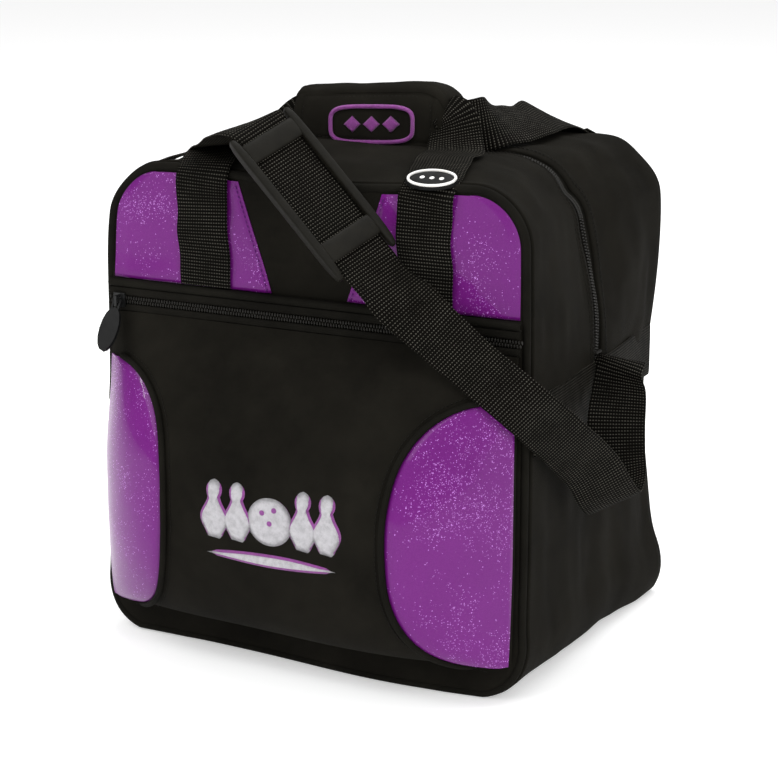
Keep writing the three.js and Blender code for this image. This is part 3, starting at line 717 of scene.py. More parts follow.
def make_rear_panel():
    inset = PANEL_INSET - 2 * MM
    x, z = panel_grid(inset, inset, HEIGHT - inset, 90, 80)
    crown = 3.2 * MM * (1 - (x / SIDE) ** 4) * bell(z, 0.14, 0.085)
    plain = on_plane(x, z)
    free = (1 - (x / SIDE) ** 8) * smooth_step(0.0, 0.03, z)
    creases = 0.7 * wander(plain, (0.09, 1, 0.07), 5) + 0.35 * wander(plain, (0.035, 1, 0.05), 6)
    y = REAR_Y - 1.5 * MM + crown + MM * creases * free
    points = settle(x, y, z, PIPING_Y)
    panel = sheet("rear_panel_cloth", points, CLOTH, "body_fabric", 3 * MM, pairs(x, z))
    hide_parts("rear_panel")
    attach(panel, "bag_body")


def front_face_y(x, z):
    """The front panel's outer face above the mouth's fold."""
    plain = on_plane(x, z)
    free = smooth_step(FOLD_Z, FOLD_Z + 0.02, z)
    ripple = 0.45 * wander(plain, (0.06, 1, 0.05), 8) + 0.25 * wander(plain, (0.03, 1, 0.03), 9)
    return FRONT_Y + MM * (0.9 - ripple) * free


def make_front_panel():
    inset = PANEL_INSET - 2 * MM
    x, z = panel_grid(inset, inset, HEIGHT - inset, 110, 80)
    y = front_face_y(x, z) + 1.5 * MM
    points = settle(x, y, z, -PIPING_Y)
    panel = sheet("front_panel_cloth", points, CLOTH, "body_fabric", 3 * MM, pairs(x, z))
    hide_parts("front_panel_lower", "front_panel_upper")
    blend_level(panel)


def blend_level(piece):
    """Bakes the placement of a piece of the front into its points; it is not bent across the mouth's fold."""
    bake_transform(piece)


def piping_line(y):
    """The piping's centre line round the settled outline."""
    distances = np.linspace(0, GIRTH, 420, endpoint=False)
    x, z, nx, nz = on_outline(distances)
    sag = top_sag(x) * np.clip(nz, 0, 1) ** 2
    out = slump(distances, np.full_like(x, y)) - PIPING_INSET
    height = np.maximum(z + nz * out - sag, PIPING_RADIUS + 0.2 * MM)
    return on_plane(x + nx * out, height, y)


def make_piping():
    """The beads along the front and rear seams."""
    front = tube("front_piping_cord", piping_line(-PIPING_Y), TRIM, "piping", PIPING_RADIUS, closed=True)
    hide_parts("front_piping_lower", "front_piping_upper")
    blend_level(front)
    rear = tube("rear_piping_cord", piping_line(PIPING_Y), TRIM, "piping", PIPING_RADIUS, closed=True)
    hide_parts("rear_piping")
    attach(rear, "bag_body")


# ---------------------------------------------------------------- vinyl on the upper front
def vinyl_edge_x(z):
    """The slanting inner edge of the vinyl beside the handle's leg."""
    return lerp(29 * MM, 57 * MM, (z - FOLD_Z) / (HEIGHT - FOLD_Z))


def make_vinyl(side, sign):
    top = HEIGHT - PANEL_INSET - 0.5 * MM
    heights = FOLD_Z + (top - FOLD_Z) * np.sin(np.linspace(0, math.pi / 2, 46))
    z, share = np.meshgrid(heights, crowded(46), indexing="ij")
    x = sign * lerp(vinyl_edge_x(z), panel_outline_x(z, PANEL_INSET + 0.3 * MM), share)
    z = z - top_sag(x) * smooth_step(FOLD_Z, HEIGHT, z)
    roll = 0.7 * MM * (smooth_step(0.0, 0.06, share) - 1) - 1.1 * MM * smooth_step(0.90, 1.0, share)
    plain = on_plane(x, z)
    buckle = 0.9 * MM * wander(plain, (0.045, 1, 0.030), 12 + sign) * np.sin(math.pi * share)
    y = front_face_y(x, z) - 0.9 * MM - roll + np.clip(buckle, -1, 0.3 * MM)
    points = settle(x, y, z, -PIPING_Y)
    name = f"vinyl_panel_{side}"
    panel = sheet(f"{name}_film", points, VINYL, "vinyl", 0.8 * MM, pairs(x, z))
    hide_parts(name)
    blend_level(panel)
    z_line = np.linspace(FOLD_Z + 1 * MM, top - 2 * MM, 60)
    x_line = sign * (vinyl_edge_x(z_line) + 2.6 * MM)
    z_sag = z_line - top_sag(x_line) * smooth_step(FOLD_Z, HEIGHT, z_line)
    y_line = front_face_y(x_line, z_sag) - 1.35 * MM
    line = on_plane(x_line, z_sag, y_line)
    seam = stitches(f"{name}_stitches", [facing_front(line)], PURPLE_STITCH, "vinyl")
    blend_level(seam)


# ---------------------------------------------------------------- domed pocket
POCKET_HALF = POCKET_HIGH.x
POCKET_BOTTOM, POCKET_TOP = POCKET_LOW.z, POCKET_HIGH.z
POCKET_EDGE_Y = -130.6 * MM
POCKET_BULGE = POCKET_EDGE_Y - POCKET_LOW.y
DOME_LOW = 0.4
INSET_CENTRE = (160 * MM, 119 * MM)
INSET_RADII = (75 * MM, 92 * MM)
INSET_SQUARENESS = 2.6
INSET_OUTER = 154.5 * MM


def pocket_y(x, z):
    """The depth of the pocket's face: a dome, steep at its foot, with slack cloth over it."""
    u = np.minimum(np.abs(x) / POCKET_HALF, 1)
    t = np.clip((z - POCKET_BOTTOM) / (POCKET_TOP - POCKET_BOTTOM), 0, 1)
    low = (1 - (1 - np.minimum(t / DOME_LOW, 1)) ** 2) ** 0.35
    high = 1 - (np.maximum(t - DOME_LOW, 0) / (1 - DOME_LOW)) ** 2.2
    dome = POCKET_BULGE * (1 - u**5) * np.where(t < DOME_LOW, low, high)
    plain = on_plane(x, z)
    slack = 2.0 * wander(plain, (0.075, 1, 0.055), 3) + 0.7 * wander(plain, (0.028, 1, 0.022), 4)
    return POCKET_EDGE_Y - dome + MM * slack * (1 - u**8) * np.sin(math.pi * t) ** 0.5


def on_pocket(x, z, lift=0.0):
    """Points lifted off the pocket's dome along its normal, and those normals."""
    step = 1 * MM
    slope_x = (pocket_y(x + step, z) - pocket_y(x - step, z)) / (2 * step)
    slope_z = (pocket_y(x, z + step) - pocket_y(x, z - step)) / (2 * step)
    normals = unit(np.stack([slope_x, -np.ones_like(slope_x), slope_z], axis=-1))
    return np.stack([x, pocket_y(x, z), z], axis=-1) + normals * np.asarray(lift)[..., None], normals


def make_pocket():
    x, z = np.meshgrid(
        POCKET_HALF * (2 * crowded(121) - 1),
        lerp(POCKET_BOTTOM, POCKET_TOP, crowded(101)),
        indexing="ij",
    )
    points, _ = on_pocket(x, z, -1.2 * MM)
    pocket = sheet("pocket_cloth", points, CLOTH, "body_fabric", 2.4 * MM, pairs(x, z))
    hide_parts("pocket_panel")
    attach(pocket, "bag_body")


def inset_edge(s, away=0.0):
    """The inner edge of a vinyl inset, a squared-off half oval, with s from -1 to 1, moved out by away."""
    power = INSET_SQUARENESS
    reach = np.maximum(1 - np.abs(s) ** power, 0) ** (1 / power)
    x, z = -INSET_RADII[0] * reach, INSET_RADII[1] * s
    nx = -(np.abs(x / INSET_RADII[0]) ** (power - 1)) / INSET_RADII[0]
    nz = np.sign(z) * np.abs(z / INSET_RADII[1]) ** (power - 1) / INSET_RADII[1]
    length = np.hypot(nx, nz)
    return x + away * nx / length, z + away * nz / length


def make_inset(side, sign):
    end = 0.988
    s, share = np.meshgrid(end * (2 * crowded(70) - 1), np.linspace(0, 1, 44) ** 0.8, indexing="ij")
    edge_x, edge_z = inset_edge(s)
    x = lerp(INSET_CENTRE[0] + edge_x, np.full_like(edge_x, INSET_OUTER), share)
    z = INSET_CENTRE[1] + edge_z
    swell = 1.2 * np.sin(math.pi * np.clip(share * 1.1, 0, 1))
    swell = swell + 0.9 * smooth_step(0, 0.10, share) * (1 - s**8)
    points, _ = on_pocket(sign * x, z, MM * (0.7 + swell))
    name = f"pocket_inset_{side}"
    inset = sheet(f"{name}_film", points, VINYL, "vinyl", 0.8 * MM, pairs(x, z))
    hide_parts(name)
    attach(inset, "bag_body")

    turn = end * (2 * crowded(160) - 1)
    edge_x, edge_z = inset_edge(turn, 1.6 * MM)
    centre, _ = on_pocket(sign * (INSET_CENTRE[0] + edge_x), INSET_CENTRE[1] + edge_z, 1.7 * MM)
    name = f"inset_piping_{side}"
    cord = tube(f"{name}_cord", centre, TRIM, "piping", 2.2 * MM)
    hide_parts(name)
    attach(cord, "bag_body")

    edge_x, edge_z = inset_edge(turn, 6.5 * MM)
    line, normals = on_pocket(sign * (INSET_CENTRE[0] + edge_x), INSET_CENTRE[1] + edge_z, 0.1 * MM)
    seam = stitches(f"inset_stitches_{side}", [(line, normals)], BLACK_THREAD, "piping")
    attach(seam, "bag_body")


# ---------------------------------------------------------------- embroidery
def raised_shape(outline_points, place, height, rings=4):
    """A raised satin-stitch shape: its outline filled towards its middle, rounded at the edge."""
    outline_points = np.asarray(outline_points, float)
    middle = outline_points.mean(0)
    points, faces = [], []
    count = len(outline_points)
    for k in range(rings + 1):
        share = k / rings
        ring = lerp(outline_points, middle, share * 0.92)
        rise = height * math.sin(min(1, share * 2.2 + 0.02) * math.pi / 2)
        points.extend(place(ring, rise - (0.6 * MM if k == 0 else 0)))
    for k in range(rings):
        for j in range(count):
            a, b = k * count, (k + 1) * count
            faces.append((a + j, a + (j + 1) % count, b + (j + 1) % count, b + j))
    faces.append(tuple(rings * count + j for j in range(count)))
    faces.append(tuple(reversed(range(count))))
    return points, faces


def offset_outline(points, away):
    """A closed outline moved outwards along its own normals."""
    points = np.asarray(points, float)
    tangent = unit(np.roll(points, -1, axis=0) - np.roll(points, 1, axis=0))
    normal = pairs(tangent[:, 1], -tangent[:, 0])
    area = np.sum(points[:, 0] * np.roll(points[:, 1], -1) - np.roll(points[:, 0], -1) * points[:, 1])
    return points + normal * away * math.copysign(1, area)


def pin_outline(centre_x, base_z, height):
    """A plain skittle's outline: foot, belly, neck and round head."""
    t = np.linspace(0, 1, 40)
    belly = 0.165 * np.exp(-(((t - 0.33) / 0.24) ** 2)) + 0.085
    head = 0.118 * np.sqrt(np.clip(1 - ((t - 0.86) / 0.14) ** 2, 0, 1))
    half = np.where(t > 0.86, head, np.maximum(belly * smooth_step(1.4, 0.5, t), head))
    half[0] *= 0.8
    right = pairs(centre_x + height * half, base_z + height * t)
    left = pairs(centre_x - height * half, base_z + height * t)[::-1]
    return resample(np.vstack([right, left[1:-1], right[:1]]), 61)[:-1]


def round_outline(centre_x, centre_z, radius_x, radius_z=None, count=40):
    angles = np.linspace(0, 2 * math.pi, count, endpoint=False)
    radius_z = radius_z or radius_x
    return pairs(centre_x + radius_x * np.cos(angles), centre_z + radius_z * np.sin(angles))


def pocket_place(base_lift):
    """A function that lays flat points on the pocket, lifted by their rise and a little more."""
    def place(points, rise):
        lifted, _ = on_pocket(points[:, 0], points[:, 1], base_lift + rise)
        return lifted

    return place


def make_pocket_emblem():
    """A generic row of skittles and a ball over a tapered bar, white with a purple edge."""
    base = 104 * MM
    shapes = [pin_outline(x * MM, base, 42 * MM) for x in (-43, -25, 25, 43)]
    shapes.append(round_outline(0, base + 17.5 * MM, 17 * MM))
    t = np.linspace(-1, 1, 30)
    bar = pairs(50 * MM * t, 93.5 * MM + 3.4 * MM * (1 - t**2))
    lower = pairs(50 * MM * t[::-1], 93.5 * MM - 3.4 * MM * (1 - t**2))
    shapes.append(np.vstack([bar, lower[1:-1]]))
    edges = [raised_shape(offset_outline(s, 1.9 * MM), pocket_place(0.1 * MM), 0.7 * MM) for s in shapes]
    edge = join_shells("emblem_edge_thread", edges, PURPLE_THREAD, "purple_thread")
    fills = [raised_shape(s, pocket_place(0.7 * MM), 0.9 * MM) for s in shapes]
    fill = join_shells("emblem_fill_thread", fills, WHITE_THREAD, "white_thread")
    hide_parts("pocket_emblem")
    holes = [(-5, 24), (4, 26.5), (0.5, 17)]
    rounds = [round_outline(x * MM, base + z * MM, 2.3 * MM, count=18) for x, z in holes]
    dots = [raised_shape(outline, pocket_place(1.4 * MM), 0.6 * MM) for outline in rounds]
    dot = join_shells("emblem_hole_thread", dots, PURPLE_THREAD, "purple_thread")
    for piece in (edge, fill, dot):
        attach(piece, "bag_body")


# ---------------------------------------------------------------- zips
def tooth_shell(centre, along, across, out, length, width, height):
    """One rounded turn of a zip's coil."""
    centre, along, across, out = (np.asarray(v) for v in (centre, along, across, out))
    points = []
    for a, size in ((-0.5, 0.55), (-0.22, 1), (0.22, 1), (0.5, 0.55)):
        for k in range(6):
            angle = k * math.pi / 3
            side = math.cos(angle) * length / 2 * size
            rise = math.sin(angle) * height / 2 * size
            points.append(centre + across * a * width + along * side + out * rise)
    return points, capped_faces(4, 6)


def make_arched_zip():
    start = side_distance(ZIP_END_Z - 2 * MM)
    distances = np.linspace(start, GIRTH - start, 240)
    for half, sign, body in (("front", -1, None), ("rear", 1, "bag_body")):
        depths = sign * np.linspace(1.2 * MM, ZIP_HALF + 1.5 * MM, 8)
        along, across = np.meshgrid(distances, depths, indexing="ij")
        points = shell(along, across, -1.9 * MM)
        uvs = pairs(along, across)
        tape = sheet(f"zip_tape_{half}_cloth", points, TAPE, "zip_tape", 0.8 * MM, uvs)
        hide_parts(f"zip_tape_{half}")
        coil = make_coil(half, sign, start)
        for piece in (tape, coil):
            if body:
                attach(piece, body)
            else:
                blend_at_mouth(piece)


def make_coil(half, sign, start):
    count = int((GIRTH - 2 * start) / COIL_PITCH)
    distances = start + COIL_PITCH * (np.arange(count) + (0.5 if sign > 0 else 0.0))
    y = np.full(count, sign * 1.55 * MM)
    centres = shell(distances, y, -0.9 * MM)
    ahead = shell(distances + MM, y, -0.9 * MM)
    _, _, nx, nz = on_outline(distances)
    shells = [
        tooth_shell(c, unit(a - c), (0, 1, 0), (px, 0, pz), 1.4 * MM, 2.9 * MM, 1.7 * MM)
        for c, a, px, pz in zip(centres, ahead, nx, nz)
    ]
    coil = join_shells(f"zip_coil_{half}_teeth", shells, COIL, "zip_coil")
    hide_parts(f"zip_coil_{half}")
    return coil


def make_pocket_zip():
    half = POCKET_HALF + 1.5 * MM
    x = np.linspace(-half, half, 120)
    for name, material, slot in (
        ("pocket_zip_binding", TRIM, "body_fabric"),
        ("pocket_zip_tape_upper", TAPE, "zip_tape"),
        ("pocket_zip_tape_lower", TAPE, "zip_tape"),
    ):
        low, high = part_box(name)
        across, along = np.meshgrid(np.linspace(0, 1, 9), x, indexing="ij")
        z = lerp(low.z, high.z, across)
        crown = (1 - (2 * across - 1) ** 4) * (high.y - low.y) * 0.6
        wobble = 0.25 * MM * wander(on_plane(along, z), (0.03, 1, 1), 21)
        points = on_plane(along, z, lerp(low.y, high.y, 0.65) - crown + wobble)
        uvs = pairs(along, z)
        piece = sheet(f"{name}_cloth", points, material, slot, 0.9 * MM, uvs)
        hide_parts(name)
        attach(piece, "bag_body")
    for row, sign in (("upper", 1), ("lower", -1)):
        name = f"pocket_zip_coil_{row}"
        low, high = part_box(name)
        middle = (low + high) / 2
        places = np.arange(-half, half, COIL_PITCH) + (COIL_PITCH / 2 if sign > 0 else 0)
        shells = [
            tooth_shell((px, middle.y, middle.z - sign * 0.7 * MM), (1, 0, 0), (0, 0, 1), (0, -1, 0),
                        1.4 * MM, 2.7 * MM, 1.9 * MM)
            for px in places
        ]
        coil = join_shells(f"{name}_teeth", shells, COIL, "zip_coil")
        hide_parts(name)
        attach(coil, "bag_body")


def soften(node, width, segments=3):
    """Rounds the edges of a CAD part that keeps its shape."""
    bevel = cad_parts[node].modifiers.new("soft_edges", "BEVEL")
    bevel.width = width
    bevel.segments = segments
    bevel.limit_method = "ANGLE"
    bevel.harden_normals = True


def dress(node, material):
    """Gives a CAD part that stays its finished material."""
    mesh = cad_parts[node].data
    mesh.materials.clear()
    mesh.materials.append(material)


def make_sliders():
    for zip_name in ("main_zip", "pocket_zip"):
        dress(f"{zip_name}_slider", ENAMEL)
        soften(f"{zip_name}_slider", 0.5 * MM)
        dress(f"{zip_name}_pull", RUBBER)
        soften(f"{zip_name}_pull", 0.5 * MM)


def make_zip_tack(side, sign):
    """The bar of dense stitching that closes the arched zip's end."""
    distance = mirrored(side_distance(ZIP_END_Z + 3 * MM), sign)
    depths = np.linspace(-5.5 * MM, 5.5 * MM, 12)
    centre = shell(np.full_like(depths, distance), depths, 0.2 * MM)
    tack = tube(f"zip_tack_{side}", centre, BLACK_THREAD, "zip_tape", 1.3 * MM, side_hint=(0, 0, 1))
    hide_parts(f"zip_end_{side}")
    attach(tack, "bag_body")


# ---------------------------------------------------------------- bands, handle loops and badge
def make_side_band(side, sign):
    depths = np.linspace(-SEAM_Y, SEAM_Y, 34)
    distance = mirrored(side_distance((BAND_LOW + BAND_HIGH) / 2), sign)
    stations = [(shell(distance, y, 2.0 * MM, 0.0), (0, 0, 1)) for y in depths]
    band = ribbon(f"side_band_{side}_webbing", stations, WEBBING, "webbing")
    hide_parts(f"side_band_{side}")
    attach(band, "bag_body")


LEG_X = 84 * MM
LEG_STANDOFF = 2.7 * MM
# Both legs of a loop lie a little to the right of their places in the frame.
LEG_SHIFT = 3.5 * MM
FRONT_BAR_Y = -27.3 * MM
REAR_BAR_Y = -3.5 * MM
# The bar under the wrap: its top edge, and the share of the webbing's width that is open there.
BAR_TOP = 386 * MM
BAR_OPEN = 0.84
# How far the left legs hang below the right ones where they reach the grip, for the front and rear loops.
LEFT_DROP = {-1: 22 * MM, 1: 12 * MM}
# The front leg's way up to the grip: x inwards from the leg, y, z, direction across, and share open.
FRONT_RISE = [
    (-11, -50, 361, (1, 0, 0), 1.0),
    (-14, -42, 367, (1, 0, 0), 0.98),
    (-17, -37.5, 375, (1, 0, 0), 0.92),
    (-21, -35.5, 381, (1, 0, 0.1), 0.8),
    (-27, -33, 383, (0.85, 0, 0.45), 0.65),
    (-34, -30, 378, (0.4, 0, 0.9), 0.7),
    (-42, -28, 371, (0, 0, 1), BAR_OPEN),
]


def half_loop(side, sign, bar_y):
    """Stations of one half of a handle loop, from its leg's foot to the middle of its bar.

    The front legs turn their outer edge up on their way to the grip, the rear legs their inner edge.
    """
    edge = sign * -FRONT_Y
    face = edge + sign * LEG_STANDOFF
    drop = 0 if side > 0 else LEFT_DROP[sign]
    swing = 0 if side > 0 else 1.5 * MM
    lower = 0 if side > 0 else 8 * MM
    bar_z = BAR_TOP - BAR_OPEN * WEBBING_WIDTH / 2

    def at(x, y, z, turn=0.0, opened=1.0, shift=0.0):
        return (side * x + shift, y, z), (side * opened * math.cos(turn), 0, -sign * opened * math.sin(turn))

    def inward(depth):
        return edge - sign * depth * MM

    leg = [
        at(LEG_X, face, FOLD_Z + 0.6 * MM, shift=LEG_SHIFT),
        at(LEG_X, face, 300 * MM, shift=LEG_SHIFT),
        at(LEG_X + swing, face, HEIGHT - 22 * MM, shift=LEG_SHIFT),
        at(LEG_X + 1 * MM, face + sign * 0.3 * MM, HEIGHT - 9 * MM, shift=LEG_SHIFT),
    ]
    grip = [
        at(LEG_X - 24 * MM, lerp(edge, bar_y, 0.98), bar_z - drop * 0.5, 1.45, 0.9),
        at(LEG_X - 32 * MM, bar_y, bar_z - drop * 0.3, math.pi / 2, BAR_OPEN),
        at(LEG_X - 48 * MM, bar_y, bar_z - drop * 0.1, math.pi / 2, BAR_OPEN),
    ]
    if sign < 0:
        leg += [
            at(LEG_X + 1 * MM, inward(2), HEIGHT - 3.2 * MM, shift=LEG_SHIFT),
            at(LEG_X + 1 * MM, inward(10), HEIGHT + 0.2 * MM, shift=LEG_SHIFT * 0.8),
            at(LEG_X, inward(26), HEIGHT + 4.2 * MM, shift=LEG_SHIFT * 0.4),
            at(LEG_X - 4 * MM, inward(44), HEIGHT + 7 * MM - drop * 0.2),
            at(LEG_X - 8 * MM, inward(66), HEIGHT + 7.5 * MM - drop * 0.4),
        ]
        for x, y, z, across, opened in FRONT_RISE:
            centre = (side * (LEG_X + x * MM), y * MM, z * MM - drop * smooth_step(-40, -11, x))
            leg.append((centre, tuple(unit(np.array(across) * (side, 1, 1)) * opened)))
        return leg + grip[2:]
    return leg + [
        at(LEG_X, inward(2), HEIGHT - 4.5 * MM - lower),
        at(LEG_X, inward(14), HEIGHT + 4 * MM - lower, 0.15),
        at(LEG_X, inward(38), HEIGHT + 14 * MM - lower, 0.42),
        at(LEG_X - 1 * MM, inward(68), HEIGHT + 15 * MM - lower, 0.45),
        at(LEG_X - 4 * MM, inward(94), HEIGHT + 15 * MM - lower, 0.6),
        at(LEG_X - 11 * MM, inward(115), HEIGHT + 18 * MM - lower, 0.95),
    ] + grip


def make_handle_loop(name, sign, bar_y, body):
    right = half_loop(1, sign, bar_y)
    left = half_loop(-1, sign, bar_y)[::-1]
    middle = ((0, bar_y, BAR_TOP - BAR_OPEN * WEBBING_WIDTH / 2), (0, 0, -sign * BAR_OPEN))
    stations = [*right, middle, *left]
    loop = ribbon(f"{name}_webbing", stations, WEBBING, "webbing", wave=0.35 * MM, sway=0.8 * MM)
    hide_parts(name)
    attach(loop, body)


BADGE_CENTRE = Vector((LEG_X + 6 * MM, -121.5 * MM, HEIGHT - 1.3 * MM))
BADGE_LEAN = math.radians(19)


def make_badge():
    """The moulded oval on the right leg: a white rim and three plain dots on black."""
    basis = Matrix.Translation(BADGE_CENTRE) @ Matrix.Rotation(BADGE_LEAN, 4, "X")

    def on_badge(centre_x, base_rise):
        def place(points, rise):
            return [np.array(basis @ Vector((centre_x + x, y, base_rise + rise))) for x, y in points]

        return place

    plate = raised_shape(round_outline(0, 0, 19 * MM, 12.5 * MM, 64), on_badge(0, 0), 2.0 * MM)
    plate_piece = new_piece("badge_plate", *plate, RUBBER, "pull_rubber")
    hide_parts("handle_badge")
    rim = [basis @ Vector((16.6 * MM * math.cos(a), 10.4 * MM * math.sin(a), 2.0 * MM))
           for a in np.linspace(0, 2 * math.pi, 64)[:-1]]
    rim_piece = tube("badge_rim", rim, WHITE_MOULDED, "white_thread", 0.95 * MM, True, 10, (0, 0, 1))
    disc = round_outline(0, 0, 2.1 * MM, count=24)
    dots = [raised_shape(disc, on_badge(x * MM, 1.8 * MM), 0.6 * MM) for x in (-7, 0, 7)]
    dot_piece = join_shells("badge_dots", dots, WHITE_MOULDED, "white_thread")
    for piece in (plate_piece, rim_piece, dot_piece):
        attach(piece, "front_half")


# ---------------------------------------------------------------- handle wrap
def wrap_top(x):
    """The height of the wrap's top edge: it climbs to the right and rounds off, more at its right end."""
    radius = np.where(x > 0, 19 * MM, 5 * MM)
    past = np.maximum(np.abs(x) - (WRAP_HIGH.x - radius), 0) / radius
    rounding = radius * (1 - np.sqrt(np.clip(1 - past**2, 0, 1)))
    return WRAP_HIGH.z + 1.4 * MM + 0.085 * x - 0.8 * rounding


def swept_wrap(name, profile, body, nodes, half, seed):
    """A padded strip whose section, a list of (y, drop below the top), runs the length of the wrap."""
    section = resample(np.array(profile, float), 44)
    x_line = half * (2 * crowded(60) - 1)
    x, k = np.meshgrid(x_line, np.arange(len(section)), indexing="ij")
    y, drop = section[k][..., 0], section[k][..., 1]
    lowest = WRAP_LOW.z + 0.8 * MM
    z = lowest + (wrap_top(x) - lowest) * (1 - drop / (WRAP_HIGH.z - lowest))
    plain = on_plane(x, z, y)
    ripple = 0.8 * wander(plain, (0.035, 0.03, 0.03), seed)
    ripple = ripple + 0.4 * wander(plain, (0.015, 0.02, 0.02), seed + 1)
    uvs = pairs(x, arc_lengths(section)[k])
    piece = sheet(name, on_plane(x, z + MM * ripple, y), CLOTH, "body_fabric", 3.2 * MM, uvs)
    if nodes:
        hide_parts(*nodes)
    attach(piece, body)
    return piece


def make_wrap():
    deep = WRAP_HIGH.z - WRAP_LOW.z
    rear_y = 0.8 * MM
    roof = [(-34 * MM, 7 * MM), (-33.2 * MM, 4.6 * MM), (-31 * MM, 3.0 * MM), (-24 * MM, 2.2 * MM),
            (-14 * MM, 3.0 * MM), (-6 * MM, 4.8 * MM), (-1 * MM, 7.2 * MM), (rear_y, 11 * MM)]
    swept_wrap("wrap_front_pad", roof, "front_half", ["grip_wrap_front"], WRAP_HIGH.x, 31)
    rear = [(rear_y, 13 * MM), (rear_y + 0.6 * MM, deep / 2), (rear_y, deep - 1 * MM)]
    swept_wrap("wrap_rear_pad", rear, "bag_body", ["grip_wrap_rear"], WRAP_HIGH.x, 33)
    wall = [(-31 * MM, 7 * MM), (-31 * MM, deep - 1 * MM)]
    swept_wrap("wrap_front_wall", wall, "front_half", [], WRAP_HIGH.x, 37)


FLAP_BORDER = 7 * MM


def flap_point(x, share):
    """The closing flap's face, from its lower edge at share 0 to its rolled top edge at share 1."""
    lowest = FLAP_LOW.z + 0.2 * MM
    belly = 1.0 * MM * np.sin(math.pi * share)
    y = FLAP_LOW.y + 1.6 * MM - belly + 9.5 * MM * share**5
    return y, lerp(lowest, wrap_top(x) - 1.6 * MM, share)


def make_flap():
    half = FLAP_HIGH.x
    corner = 12 * MM
    height = WRAP_HIGH.z - FLAP_LOW.z
    side, share = np.meshgrid(2 * crowded(70) - 1, np.linspace(0, 1, 40), indexing="ij")
    from_bottom = share * height
    rounding = corner - np.sqrt(np.maximum(corner**2 - np.maximum(corner - from_bottom, 0) ** 2, 0))
    x = side * (half - rounding)
    y, z = flap_point(x, share)
    border = np.minimum(np.minimum(half - np.abs(x), from_bottom), (1 - share) * height)
    groove = 0.8 * MM * bell(border, FLAP_BORDER, 1.2 * MM)
    crown = 1.2 * MM * smooth_step(0, 5 * MM, border)
    plain = on_plane(x, z, y)
    ripple = 0.6 * MM * wander(plain, (0.03, 0.03, 0.02), 35)
    points = on_plane(x, z, y - crown + groove + ripple)
    uvs = pairs(x, share * height)
    flap = sheet("wrap_flap_pad", points, CLOTH, "body_fabric", 3.0 * MM, uvs)
    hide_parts("grip_flap")
    blend_at_flap(flap)

    t = np.linspace(0, 2 * math.pi, 160)
    square_x = squared_wave(np.cos(t), 0.35) * (half - FLAP_BORDER)
    share = 0.5 + squared_wave(np.sin(t), 0.35) * (0.5 - FLAP_BORDER / height)
    y, z = flap_point(square_x, share)
    line = on_plane(square_x, z, y - 2.0 * MM)
    seam = stitches("wrap_flap_stitches", [facing_front(line)], BLACK_THREAD, "body_fabric")
    blend_at_flap(seam)
    make_grip_emblem()
    for node in ("grip_hook_strip", "grip_loop_strip"):
        dress(node, TAPE)


def blend_at_flap(piece):
    """Bakes the placement of a piece of the flap into its points."""
    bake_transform(piece)


def make_grip_emblem():
    """A generic embroidered frame with three diamonds, in purple thread."""
    low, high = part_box("grip_emblem")
    centre_z = (low.z + high.z) / 2

    def place(points, rise):
        return [np.array([x + 5 * MM, low.y - 1.2 * MM - rise, z - 2 * MM + 0.06 * x]) for x, z in points]

    t = np.linspace(0, 2 * math.pi, 120, endpoint=False)
    frame_x = squared_wave(np.cos(t), 0.5) * 32 * MM
    frame_z = centre_z + squared_wave(np.sin(t), 0.5) * 12.5 * MM
    border = np.array(place(pairs(frame_x, frame_z), 0))
    ring = tube("grip_emblem_frame", border, PURPLE_THREAD, "purple_thread", 1.5 * MM, closed=True)
    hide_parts("grip_emblem")
    shells = []
    for x in (-15, 0, 15):
        diamond = np.array([(x - 7, 0), (x, -6), (x + 7, 0), (x, 6)]) * MM + np.array([0, centre_z])
        outline = resample(np.vstack([diamond, diamond[:1]]), 33)[:-1]
        shells.append(raised_shape(outline, place, 0.9 * MM))
    diamonds = join_shells("grip_emblem_diamonds", shells, PURPLE_THREAD, "purple_thread")
    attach(ring, "grip_flap")
    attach(diamonds, "grip_flap")


# ---------------------------------------------------------------- shoulder strap and its slide
SLIDE_CENTRE = np.array([20, -156, 342]) * MM
SLIDE_ALONG = unit(np.array([95, 0, -100]))
ACROSS_SLIDE = (0.405, 0.83, 0.385)
ACROSS_DROP = (0.674, 0, 0.738)


def along_slide(distance):
    return tuple(SLIDE_CENTRE / MM + SLIDE_ALONG * distance)


